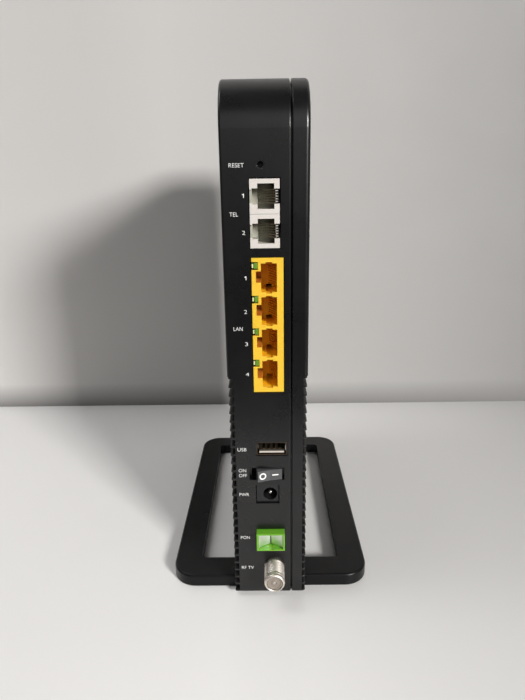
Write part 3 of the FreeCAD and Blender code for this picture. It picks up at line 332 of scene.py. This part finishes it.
CARRIED = {
    "case": ["main_shell", "side_cover"],
    "stand": ["stand_ring"],
    "board": ["main_pcb"],
    "chip": ["processor", "memory_chips", "inductors", "line_transformers", "reset_switch_body",
             "wps_switch_body"],
    "alloy": ["heatsink"],
    "steel": ["wifi_shield_can", "line_shield_can", "antenna_plates", "pon_module", "rocker_terminals",
              "dc_jack_spring"],
    "ivory": ["rj11_jack_1", "rj11_jack_2"],
    "yellow": ["lan_jack_block"],
    "inlet": ["rocker_frame", "dc_jack_body", "reset_plunger"],
    "tongue": ["usb_tongue"],
    "gold": ["usb_contacts"],
    "shaded_tin": ["rf_contact"],
    "green": ["pon_adapter"],
    "white": ["pon_ferrule_sleeve", "status_leds"],
    "lens": ["status_light_guide"],
    "switch": ["rocker_paddle"],
}
for finish, names in CARRIED.items():
    for name in names:
        NODES[name].data.materials.clear()
        NODES[name].data.materials.append(FINISH[finish])


# ---------------------------------------------------------------- mesh helpers

def piece(name, bm, finish, body="case", stands_for=(), smooth_deg=35):
    """A finished mesh as an object that rides on a body and takes the place of CAD nodes."""
    bmesh.ops.recalc_face_normals(bm, faces=bm.faces)
    mesh = bpy.data.meshes.new(name)
    bm.to_mesh(mesh)
    bm.free()
    mesh.shade_smooth()
    mesh.set_sharp_from_angle(angle=math.radians(smooth_deg))
    thing = bpy.data.objects.new(name, mesh)
    bpy.context.scene.collection.objects.link(thing)
    mesh.materials.clear()
    mesh.materials.append(FINISH[finish])
    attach(thing, body)
    if stands_for:
        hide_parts(*stands_for)
    return thing


def circle(steps):
    """Evenly spaced angles once round."""
    return [2 * math.pi * k / steps for k in range(steps)]


def bridge(bm, first, second):
    """Adds the band of faces between two rings of as many points."""
    count = len(first)
    for k in range(count):
        bm.faces.new((first[k], first[(k + 1) % count], second[(k + 1) % count], second[k]))


def skin(bm, rings, capped=(0, -1)):
    """Adds the faces between neighbouring rings and over the rings listed in capped."""
    for first, second in zip(rings, rings[1:]):
        bridge(bm, first, second)
    for end in capped:
        bm.faces.new(rings[end])


def merge(bm, part, matrix):
    """Adds a part to bm at the place that matrix gives."""
    bmesh.ops.transform(part, matrix=matrix, verts=part.verts)
    mesh = bpy.data.meshes.new("part")
    part.to_mesh(mesh)
    part.free()
    bm.from_mesh(mesh)
    bpy.data.meshes.remove(mesh)


def turned(bm, profile, centre, steps=64, radius_at=None):
    """Adds a solid of revolution about the Y axis through centre; profile is (y, radius) pairs.
    radius_at(y, radius, angle) may change each point's radius."""
    rings = []
    for y, radius in profile:
        ring = []
        for angle in circle(steps):
            r = radius_at(y, radius, angle) if radius_at else radius
            ring.append(bm.verts.new((centre.x + r * math.cos(angle), y, centre.z + r * math.sin(angle))))
        rings.append(ring)
    skin(bm, rings)


def block(bm, low, high, bevel, segments=2):
    """Adds a box with rounded edges."""
    made = bmesh.ops.create_cube(bm, size=1.0)["verts"]
    low, high = Vector(low), Vector(high)
    for v in made:
        v.co = Vector(low[i] + (v.co[i] + 0.5) * (high[i] - low[i]) for i in range(3))
    edges = {e for v in made for e in v.link_edges}
    bmesh.ops.bevel(bm, geom=list(edges), offset=bevel, segments=segments, profile=0.6, affect="EDGES")


def tube(bm, points, radius, sides=8):
    """Adds a round wire along a list of points."""
    rings = []
    for i, p in enumerate(points):
        way = (points[min(i + 1, len(points) - 1)] - points[max(i - 1, 0)]).normalized()
        side = way.cross(Vector((0, 0, 1))).normalized()
        up = side.cross(way)
        rings.append([bm.verts.new(p + radius * (math.cos(t) * side + math.sin(t) * up)) for t in circle(sides)])
    skin(bm, rings)


# ---------------------------------------------------------------- television connector

def television_connector():
    low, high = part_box("rf_barrel")
    centre = (low + high) / 2
    tip = low.y
    outer = 4.75 * MM
    neck = outer - 0.25 * MM
    flange = 6 * MM
    bore = 3.7 * MM
    pitch = 0.7938 * MM
    depth = 0.3 * MM
    thread_start = tip + 2.5 * MM
    thread_end = FACE - 0.3 * MM

    def threaded(y, radius, angle):
        if radius < outer - 0.01 * MM or not thread_start < y < thread_end:
            return radius
        phase = ((y - thread_start) / pitch - angle / (2 * math.pi)) % 1
        fade = min(1, (y - thread_start) / pitch, (thread_end - y) / pitch)
        return radius - depth * fade * abs(2 * phase - 1)

    profile = [(tip + 0.9 * MM, bore), (tip + 0.2 * MM, bore + 0.05 * MM), (tip, bore + 0.25 * MM),
               (tip, outer - 0.75 * MM),
               (tip + 0.12 * MM, outer - 0.45 * MM), (tip + 0.55 * MM, outer - 0.08 * MM), (tip + 0.8 * MM, outer),
               (tip + 1.7 * MM, outer), (tip + 1.78 * MM, outer - 0.2 * MM), (tip + 1.96 * MM, outer - 0.2 * MM),
               (tip + 2.04 * MM, outer), (thread_start, outer)]
    rows = 96
    profile += [(thread_start + (thread_end - thread_start) * k / rows, outer) for k in range(1, rows + 1)]
    profile += [(FACE + 2.5 * MM, neck), (FACE + 2.5 * MM, flange), (FACE + 4.9 * MM, flange),
                (FACE + 4.9 * MM, neck), (high.y, neck)]
    bm = bmesh.new()
    turned(bm, profile, centre, 96, threaded)
    piece("rf_threaded_barrel", bm, "nickel", stands_for=["rf_barrel"], smooth_deg=40)
    bm = bmesh.new()
    face = tip + 0.6 * MM
    turned(bm, [(tip + 10 * MM, bore - 0.02 * MM), (face + 0.1 * MM, bore - 0.02 * MM), (face, bore - 0.15 * MM),
                (face, 2.9 * MM), (face + 0.25 * MM, 2.7 * MM), (face + 0.25 * MM, 1.5 * MM), (face, 1.25 * MM),
                (face, 0.85 * MM), (face + 0.3 * MM, 0.55 * MM), (tip + 9 * MM, 0.5 * MM)], centre, 64)
    piece("rf_insert", bm, "insulator", stands_for=["rf_insulator"])


# ---------------------------------------------------------------- sockets

WIRE_PITCH = 1.02 * MM
WIRE_RADIUS = 0.2 * MM

def bent_wire(wall_x, reach_x, front_y, back_y, z):
    """A jack's spring wire: forward along the wall, round a tight nose, then slanting back across the opening."""
    nose = 0.42 * MM
    middle = Vector((wall_x - nose, front_y + nose, z))
    points = [Vector((wall_x, back_y, z)), Vector((wall_x, front_y + 2.2 * MM, z))]
    for k in range(9):
        angle = math.radians(200 * k / 8)
        points.append(middle + nose * Vector((math.cos(angle), -math.sin(angle), 0)))
    start = points[-1]
    end = Vector((reach_x, back_y - 1.0 * MM, z))
    for k in range(1, 7):
        part = k / 6
        sag = math.sin(math.pi * part) * 0.35 * MM
        points.append(start.lerp(end, part) + Vector((sag, 0, 0)))
    return points


def jack_wires(node, count, wall_x, reach_x, finish):
    """A jack's row of wires, one above the other."""
    low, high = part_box(node)
    middle = (low.z + high.z) / 2
    bm = bmesh.new()
    for k in range(count):
        z = middle + (k - (count - 1) / 2) * WIRE_PITCH
        tube(bm, bent_wire(wall_x, reach_x, low.y + 0.2 * MM, high.y + 0.6 * MM, z), WIRE_RADIUS)
    piece(node + "_bent", bm, finish, stands_for=[node])


def comb_teeth(node, wall_x):
    """The ivory ribs between a telephone jack's wires, beside its opening."""
    low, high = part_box(node)
    half = 0.17 * MM
    bm = bmesh.new()
    for k in range(-2, 3):
        z = (low.z + high.z) / 2 + k * WIRE_PITCH
        block(bm, (wall_x - 0.5 * MM, low.y - 0.2 * MM, z - half),
              (wall_x + 0.6 * MM, low.y + 2.2 * MM, z + half), 0.05 * MM)
    piece(node + "_teeth", bm, "ivory")


def jack_contacts():
    """Six wires in each telephone jack, their metal darkened as painted shade, and eight gilt ones in each network
    jack.
    """
    kinds = (("rj11", (1, 2), 6, 0.9, "wire"), ("lan", (1, 2, 3, 4), 8, -0.2, "gold"))
    for kind, ports, count, beyond, finish in kinds:
        for i in ports:
            node = f"{kind}_contacts_{i}"
            low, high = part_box(node)
            wall_x = high.x + 0.2 * MM
            if kind == "rj11":
                comb_teeth(node, wall_x)
            jack_wires(node, count, wall_x, low.x - beyond * MM, finish)


def status_lamps():
    """The small light windows at each network port: a pale diffuser beside a green lens."""
    for i in (1, 2, 3, 4):
        low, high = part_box(f"lan_led_{i}")
        split = low.x + 0.75 * MM
        bm = bmesh.new()
        block(bm, (split, low.y + 0.05 * MM, low.z + 0.1 * MM), (high.x, high.y, high.z - 0.1 * MM), 0.45 * MM, 3)
        piece(f"lan_lamp_{i}", bm, "led", stands_for=[f"lan_led_{i}"])
        bm = bmesh.new()
        block(bm, (low.x, low.y + 0.1 * MM, low.z + 0.6 * MM),
              (split - 0.12 * MM, low.y + 2 * MM, high.z - 0.6 * MM), 0.12 * MM)
        piece(f"lan_lamp_rim_{i}", bm, "diffuser")


def rect_ring(bm, centre, y, half_wide, half_high, corner, steps=4):
    """A ring of points round a rounded rectangle in the plane of the port face."""
    ring = []
    for sx, sz, start in ((1, 1, 0), (-1, 1, 90), (-1, -1, 180), (1, -1, 270)):
        for k in range(steps + 1):
            angle = math.radians(start + 90 * k / steps)
            ring.append(bm.verts.new((centre.x + sx * (half_wide - corner) + corner * math.cos(angle), y,
                                      centre.z + sz * (half_high - corner) + corner * math.sin(angle))))
    return ring


def usb_shell():
    """The drawn steel can: flared mouth, rounded corners, and pressed spring tongues in its roof and sides."""
    low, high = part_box("usb_shell")
    centre = (low + high) / 2
    wide, tall = (high.x - low.x) / 2, (high.z - low.z) / 2
    sheet = 0.35 * MM
    bm = bmesh.new()
    outer = [(low.y, 0.2), (low.y + 0.3 * MM, 0.16), (low.y + 0.9 * MM, 0.0), (high.y, 0.0)]
    rings = [rect_ring(bm, centre, y, wide + f * MM, tall + f * MM, 0.7 * MM) for y, f in outer]
    inner = [(high.y - sheet, 0.0), (low.y + 1.1 * MM, 0.0), (low.y + 0.4 * MM, 0.14), (low.y, 0.18)]
    rings += [rect_ring(bm, centre, y, wide - sheet + f * MM, tall - sheet + f * MM, 0.4 * MM) for y, f in inner]
    skin(bm, rings, capped=())
    bridge(bm, rings[-1], rings[0])
    for back in (len(outer) - 1, len(outer)):
        bm.faces.new(rings[back])
    piece("usb_can", bm, "shaded_tin", stands_for=["usb_shell"])
    bm = bmesh.new()
    roof = high.z - sheet
    for x in (-3.1, 3.1):
        block(bm, (centre.x + (x - 1.1) * MM, low.y + 2 * MM, roof - 0.3 * MM),
              (centre.x + (x + 1.1) * MM, low.y + 7 * MM, roof + 0.05 * MM), 0.15 * MM)
    for side, start, below, above in ((-1, 2.5, -1, 1), (1, 0.3, -0.9, 2.3)):
        wall = centre.x + side * (wide - sheet)
        block(bm, (min(wall, wall - side * 0.3 * MM), low.y + start * MM, centre.z + below * MM),
              (max(wall, wall - side * 0.3 * MM), low.y + 6 * MM, centre.z + above * MM), 0.12 * MM)
    piece("usb_springs", bm, "steel")


def power_pin():
    """The inlet's centre pin, with a rounded nose."""
    low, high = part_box("dc_jack_pin")
    centre = (low + high) / 2
    r = 1.0 * MM
    bm = bmesh.new()
    turned(bm, [(low.y, 0.3 * MM), (low.y + 0.15 * MM, 0.62 * MM), (low.y + 0.7 * MM, r), (high.y, r)], centre, 40)
    piece("power_pin", bm, "steel", stands_for=["dc_jack_pin"])


def pivot_of(body):
    """Where the joint that moves this body has its axis."""
    return Vector(next(j for j in frame["joints"] if j["child"] == body)["pos_m"])


def shutter(name, body, side):
    """One sprung leaf of the fibre socket: thin bright sheet with a rolled edge round its pin."""
    long, thick, tall = 5.9 * MM, 0.3 * MM, 7.3 * MM
    rest_deg = 31
    bm = bmesh.new()
    steps = 10
    rings = []
    for k in range(steps + 1):
        along = long * k / steps
        crown = 0.12 * MM * math.sin(math.pi * k / steps)
        ring = []
        for depth, z in ((-0.5, -0.5), (0.5, -0.5), (0.5, 0.5), (-0.5, 0.5)):
            ring.append(bm.verts.new((-side * along, depth * thick + crown, z * tall)))
        rings.append(ring)
    skin(bm, rings)
    sharp = [e for e in bm.edges if e.calc_face_angle(0) > 1.2]
    bmesh.ops.bevel(bm, geom=sharp, offset=0.07 * MM, segments=2, affect="EDGES")
    pin_end, pin_r, roll_r = 4.1 * MM, 0.28 * MM, 0.36 * MM
    barrel = [(-pin_end, pin_r), (-tall / 2, pin_r), (-tall / 2, roll_r), (tall / 2, roll_r), (tall / 2, pin_r),
              (pin_end, pin_r)]
    skin(bm, [[bm.verts.new((r * math.cos(t), r * math.sin(t), z)) for t in circle(20)] for z, r in barrel])
    turn = Matrix.Rotation(math.radians(-side * rest_deg), 4, "Z")
    bmesh.ops.transform(bm, matrix=Matrix.Translation(pivot_of(body)) @ turn, verts=bm.verts)
    piece(name + "_leaf", bm, "shutter", body, [name])


# ---------------------------------------------------------------- rocker legends and lettering

def rocker_legends():
    """The ring and the bar, printed on the two flat halves of the rocker's shallow vee."""
    tilt = Matrix.Rotation(math.radians(13.45), 4, "Z")
    vee = math.tan(math.radians(4.25))
    crest = -5.8 * MM
    proud = 0.03 * MM
    bm = bmesh.new()

    def on_face(x, y, z):
        return bm.verts.new((x, crest - abs(x) * vee + y, z))

    inner, outer, centre = 1.0 * MM, 1.62 * MM, -3.3 * MM
    bands = (((inner, -proud), (outer, -proud)), ((outer, -proud), (outer, proud)),
             ((inner, proud), (inner, -proud)))
    for band in bands:
        rows = [[on_face(centre + r * math.cos(a), y, r * math.sin(a)) for a in circle(48)] for r, y in band]
        bridge(bm, *rows)
    bar_low, bar_high, bar = 1.1 * MM, 4.0 * MM, 0.3 * MM
    corners = ((bar_low, -bar), (bar_high, -bar), (bar_high, bar), (bar_low, bar))
    front, back = [[on_face(x, y, z) for x, z in corners] for y in (-proud, proud)]
    bridge(bm, front, back)
    bm.faces.new(front)
    bmesh.ops.remove_doubles(bm, verts=bm.verts, dist=0.001 * MM)
    bmesh.ops.transform(bm, matrix=Matrix.Translation(pivot_of("rocker")) @ tilt, verts=bm.verts)
    piece("rocker_legends", bm, "print", "rocker")


# Each word with its left edge, its foot, its height and its width, all in mm.
LABELS = [
    ("RESET", -13.9, 199.8, 1.55, 5.8), ("1", -9.2, 188.6, 1.55, 0.9), ("TEL", -14.2, 181.6, 1.55, 3.4),
    ("2", -9.4, 174.5, 1.55, 1.2), ("1", -9.0, 156.4, 1.6, 0.9), ("2", -9.35, 142.4, 1.6, 1.2),
    ("LAN", -13.95, 135.2, 1.55, 3.8), ("3", -9.3, 128.5, 1.6, 1.2), ("4", -9.3, 115.0, 1.6, 1.35),
    ("USB", -13.9, 79.15, 1.6, 4.0), ("ON", -13.7, 68.6, 1.6, 3.4), ("OFF", -13.65, 66.05, 1.6, 3.7),
    ("PWR", -13.65, 56.15, 1.6, 4.4), ("PON", -13.65, 32.9, 1.6, 4.25), ("RF TV", -13.6, 15.9, 1.6, 5.8),
]


def figure_one(tall, wide):
    """Corners of a plain flagged figure one, from its lower right corner."""
    left = wide - 0.3
    flag = wide - 0.75
    return [(wide, 0), (wide, tall), (left, tall), (flag, tall - 0.3), (flag, tall - 0.58), (left, tall - 0.4),
            (left, 0)]


def lettering():
    """Plain function words beside each socket, printed a hair above the port face."""
    ink = 0.02
    bm = bmesh.new()
    for words, x, z, tall, wide in LABELS:
        if words == "1":
            rows = [[bm.verts.new(((x + a) * MM, FACE + y * MM, (z + b) * MM)) for a, b in figure_one(tall, wide)]
                    for y in (-ink, ink)]
            skin(bm, rows, capped=(0,))
            continue
        curve = bpy.data.curves.new("word", "FONT")
        curve.body = words
        curve.size = 1.0
        curve.extrude = ink
        curve.offset = -0.01
        curve.resolution_u = 6
        holder = bpy.data.objects.new("word", curve)
        mesh = bpy.data.meshes.new_from_object(holder)
        xs = [v.co.x for v in mesh.vertices]
        ys = [v.co.y for v in mesh.vertices]
        up = tall * MM / (max(ys) - min(ys))
        across = wide * MM / (max(xs) - min(xs))
        for v in mesh.vertices:
            v.co = Vector((x * MM + (v.co.x - min(xs)) * across, FACE - v.co.z * MM,
                           z * MM + (v.co.y - min(ys)) * up))
        bm.from_mesh(mesh)
        bpy.data.objects.remove(holder)
        bpy.data.curves.remove(curve)
        bpy.data.meshes.remove(mesh)
    piece("face_lettering", bm, "print")


# ---------------------------------------------------------------- screws, feet, button

def screw_head(bm, centre, direction, radius, thick, shank, long):
    """A pan head with a cross recess, and its shank; direction points out of the head."""
    angles = circle(40)
    profile = [(0.0, shank), (long, shank), (long, radius), (long + thick * 0.55, radius),
               (long + thick * 0.85, radius * 0.86), (long + thick, radius * 0.62), (long + thick, radius * 0.5)]
    spin = direction.to_track_quat("Z", "Y").to_matrix()
    start = centre - direction * (long + thick)

    def ring(radii, height):
        return [bm.verts.new(start + spin @ Vector((r * math.cos(a), r * math.sin(a), height)))
                for r, a in zip(radii, angles)]

    rings = [ring([r] * len(angles), height) for height, r in profile]
    skin(bm, rings, capped=(0,))
    cross = [radius * (0.16 + 0.34 * abs(math.cos(2 * a)) ** 3) for a in angles]
    rim = ring(cross, long + thick)
    pit = ring([r * 0.55 for r in cross], long + thick * 0.3)
    skin(bm, [rings[-1], rim, pit], capped=(-1,))


def screws():
    """Every screw as a turned head on a plain shank; each group has one direction and one head height."""
    radius, shank = 2.2, 1.0
    groups = (
        ("stand_screws", Vector((0, 0, -1)), 1.2),
        ("cover_screws", Vector((-1, 0, 0)), 1.4),
        ("pcb_screws", Vector((1, 0, 0)), 1.2),
    )
    for node, out, thick in groups:
        bm = bmesh.new()
        for low, high in islands(NODES[node].data):
            centre = (low + high) / 2
            axis = max(range(3), key=lambda i: abs(out[i]))
            long = high[axis] - low[axis]
            tip = centre + out * long / 2
            screw_head(bm, tip, out, radius * MM, thick * MM, shank * MM, long - thick * MM)
        piece(node + "_turned", bm, "zinc", stands_for=[node])


def islands(mesh):
    """The lowest and highest corner of each separate lump of a mesh."""
    bm = bmesh.new()
    bm.from_mesh(mesh)
    bmesh.ops.remove_doubles(bm, verts=bm.verts, dist=0.002 * MM)
    left = set(bm.verts)
    boxes = []
    while left:
        waiting = [left.pop()]
        group = set(waiting)
        while waiting:
            v = waiting.pop()
            for e in v.link_edges:
                w = e.other_vert(v)
                if w in left:
                    left.remove(w)
                    group.add(w)
                    waiting.append(w)
        boxes.append([Vector(pick(v.co[i] for v in group) for i in range(3)) for pick in (min, max)])
    bm.free()
    return sorted(boxes, key=lambda b: tuple(round(c, 5) for c in b[0]))


def feet():
    """Round rubber feet with a shallow groove in the sole."""
    bm = bmesh.new()
    spin = Matrix.Rotation(math.radians(90), 4, "X")
    for low, high in islands(NODES["stand_feet"].data):
        centre = (low + high) / 2
        part = bmesh.new()
        r = (high.x - low.x) / 2
        thick = high.z - low.z
        groove = 0.05 * MM
        turned(part, [(0, r * 0.55), (groove, r * 0.6), (groove, r * 0.72), (0, r * 0.78), (0, r - 0.35 * MM),
                      (0.12 * MM, r - 0.1 * MM), (0.35 * MM, r), (thick, r)], Vector((0, 0, 0)), 40)
        merge(bm, part, Matrix.Translation((centre.x, centre.y, low.z)) @ spin)
    piece("rubber_feet", bm, "rubber", stands_for=["stand_feet"])


def pairing_button():
    """A pillow-shaped key cap with a shallow finger dish."""
    low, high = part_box("wps_button")
    centre = (low + high) / 2
    half = (high.x - low.x) / 2
    bm = bmesh.new()
    # Each row is how far it lies below the top, how far in from the sides, and its corner radius, in mm.
    rows = ((3.6, 0, 0.6), (0.6, 0, 0.6), (0.25, 0.12, 0.7), (0.04, 0.4, 0.9), (0, 0.8, 1.1), (0.12, 1.6, 1.2),
            (0.22, 2.4, 0.9), (0.25, 3.1, 0.35))
    skin(bm, [rect_ring(bm, centre, high.y - down * MM, half - inset * MM, half - inset * MM, corner * MM)
              for down, inset, corner in rows])
    stem = 1.6 * MM
    turned(bm, [(low.y, 1.3 * MM), (low.y + 0.3 * MM, stem), (high.y - 3.5 * MM, stem)], centre, 24)
    piece("pairing_key", bm, "switch", "pair_button", ["wps_button"])


def light_windows():
    """Small round windows along the smoked strip, one over each status lamp."""
    low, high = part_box("status_light_guide")
    lamps = islands(NODES["status_leds"].data)
    middle = low.x + 2.4 * MM
    bm = bmesh.new()
    for lamp_low, lamp_high in lamps:
        centre = Vector((middle, 0, (lamp_low.z + lamp_high.z) / 2))
        turned(bm, [(high.y - 0.3 * MM, 0.8 * MM), (high.y + 0.02 * MM, 0.8 * MM),
                    (high.y + 0.08 * MM, 0.65 * MM)], centre, 28)
    piece("status_windows", bm, "white")


def capacitors():
    """Electrolytic cans with a crimped groove and a rounded edge at one end."""
    bm = bmesh.new()
    spin = Matrix.Rotation(math.radians(-90), 4, "Z")
    for low, high in islands(NODES["capacitors"].data):
        centre = (low + high) / 2
        r = (high.z - low.z) / 2
        long = high.x - low.x
        part = bmesh.new()
        turned(part, [(0, r * 0.82), (0.1 * MM, r * 0.86), (0.3 * MM, r * 0.97), (0.7 * MM, r),
                      (long - 2.2 * MM, r), (long - 1.9 * MM, r * 0.9), (long - 1.5 * MM, r * 0.9),
                      (long - 1.2 * MM, r), (long, r)], Vector((0, 0, 0)), 40)
        merge(bm, part, Matrix.Translation((low.x, centre.y, centre.z)) @ spin)
    piece("capacitor_cans", bm, "alloy", stands_for=["capacitors"])


television_connector()
jack_contacts()
status_lamps()
usb_shell()
power_pin()
shutter("pon_shutter_left", "shutter_left", -1)
shutter("pon_shutter_right", "shutter_right", 1)
rocker_legends()
lettering()
screws()
feet()
pairing_button()
light_windows()
capacitors()


# ---------------------------------------------------------------- stage, light, camera

TABLE_FRONT = -0.27
WALL_Y = 0.165
REACH = 4


def stage():
    """A pale table top that ends in front of the object, and a wall that shows only from the front; both carry
    painted light and shade.
    """
    g = Graph("floor_paint_and_shade")
    base = g.mix(g.noise(180, 3), (0.90, 0.89, 0.875), (0.94, 0.93, 0.915))
    # painted shade: the floor darkens towards the right
    base = g.mix(g.ramp(g.axis(g.place, "X"), -0.02, 0.3), base, (0.42, 0.412, 0.405))
    gloss = g.ramp(g.noise(60, 3), 0.3, 0.7, 0.28, 0.36)
    g.finish(base, gloss, g.bump(g.noise(3, 2), 0.01, 0.03), Specular_IOR_Level=0.35)
    wall = Graph("wall_paint_and_shade")
    tone = wall.mix(wall.noise(240, 3), (0.60, 0.585, 0.572), (0.63, 0.615, 0.60))
    # painted shade: the wall darkens towards the right
    tone = wall.mix(wall.ramp(wall.axis(wall.place, "X"), -0.08, 0.27), tone, (0.27, 0.264, 0.26))
    # painted light: the wall brightens at the far left
    tone = wall.mix(wall.ramp(wall.axis(wall.place, "X"), -0.28, -0.14, 1.0, 0.0), tone, (0.70, 0.682, 0.667))
    # painted shadow along the foot of the wall where it meets the floor
    tone = wall.mix(wall.ramp(wall.axis(wall.place, "Z"), 0.0, 0.022, 1.0, 0.0), tone, (0.22, 0.215, 0.21))
    wall.finish(tone, wall.ramp(wall.noise(50, 3), 0.3, 0.7, 0.7, 0.85), wall.bump(wall.noise(1.5, 3), 0.02, 0.05))
    clear = wall.add("BsdfTransparent")
    sides = wall.add("MixShader")
    wall.link(wall.geometry.outputs["Backfacing"], sides.inputs[0])
    wall.link(wall.shader.outputs[0], sides.inputs[1])
    wall.link(clear.outputs[0], sides.inputs[2])
    wall.link(sides.outputs[0], wall.output.inputs["Surface"])
    for name, corners, finish in (
        ("floor", [(-REACH, TABLE_FRONT, 0), (REACH, TABLE_FRONT, 0), (REACH, REACH, 0), (-REACH, REACH, 0)],
         g.material),
        ("backdrop", [(-REACH, WALL_Y, 0), (REACH, WALL_Y, 0), (REACH, WALL_Y, 3), (-REACH, WALL_Y, 3)],
         wall.material),
    ):
        mesh = bpy.data.meshes.new(name)
        mesh.from_pydata(corners, [], [(0, 1, 2, 3)])
        mesh.materials.append(finish)
        thing = bpy.data.objects.new(name, mesh)
        bpy.context.scene.collection.objects.link(thing)


def lamp(name, place, aim, width, height, power, colour=(1, 1, 1)):
    """A rectangular lamp at place that faces aim; sizes are in metres and power in watts."""
    data = bpy.data.lights.new(name, "AREA")
    data.shape = "RECTANGLE"
    data.size = width
    data.size_y = height
    data.energy = power
    data.color = colour
    thing = bpy.data.objects.new(name, data)
    thing.location = place
    thing.rotation_euler = (Vector(aim) - Vector(place)).to_track_quat("-Z", "Y").to_euler()
    bpy.context.scene.collection.objects.link(thing)


def lights():
    """A small window-like key from the right, broad fill from above and in front, and a faint back light."""
    lamp("window", (0.81, -1.11, 0.65), (0, 0, 0.1), 0.26, 0.26, 24, (1.0, 0.985, 0.965))
    lamp("overhead", (-1.1, 0.3, 1.9), (-0.25, -0.1, 0), 1.8, 1.6, 30, (0.98, 0.985, 1.0))
    lamp("front", (0.02, -1.6, 0.85), (0, 0, 0.13), 2.0, 1.2, 4.0, (1.0, 0.99, 0.98))
    lamp("behind", (-0.4, 1.5, 0.9), (0, 0, 0.1), 1.0, 1.0, 2)
    world = bpy.data.worlds.new("studio")
    world.use_nodes = True
    world.node_tree.nodes["Background"].inputs[0].default_value = (0.98, 0.99, 1.0, 1)
    world.node_tree.nodes["Background"].inputs[1].default_value = 0.025
    bpy.context.scene.world = world


def camera():
    """The camera that the photograph's vanishing points and the port face's corners give."""
    pitch, yaw, roll = (math.radians(a) for a in (16.957, -0.667, 0.889))
    forward = Vector((math.sin(yaw) * math.cos(pitch), math.cos(yaw) * math.cos(pitch), -math.sin(pitch)))
    right = Vector((math.cos(yaw), -math.sin(yaw), 0))
    down = forward.cross(right)
    across = math.cos(roll) * right + math.sin(roll) * down
    upward = math.sin(roll) * right - math.cos(roll) * down
    data = bpy.data.cameras.new("camera")
    data.lens = 27
    data.sensor_width = 36
    data.clip_start = 0.01
    thing = bpy.data.objects.new("camera", data)
    thing.matrix_world = Matrix((
        (across.x, upward.x, -forward.x, 0.47 * MM),
        (across.y, upward.y, -forward.y, FACE - 212.42 * MM),
        (across.z, upward.z, -forward.z, 191.44 * MM),
        (0, 0, 0, 1),
    ))
    bpy.context.scene.collection.objects.link(thing)
    bpy.context.scene.camera = thing


stage()
lights()
camera()
bpy.context.scene.view_settings.view_transform = "Standard"
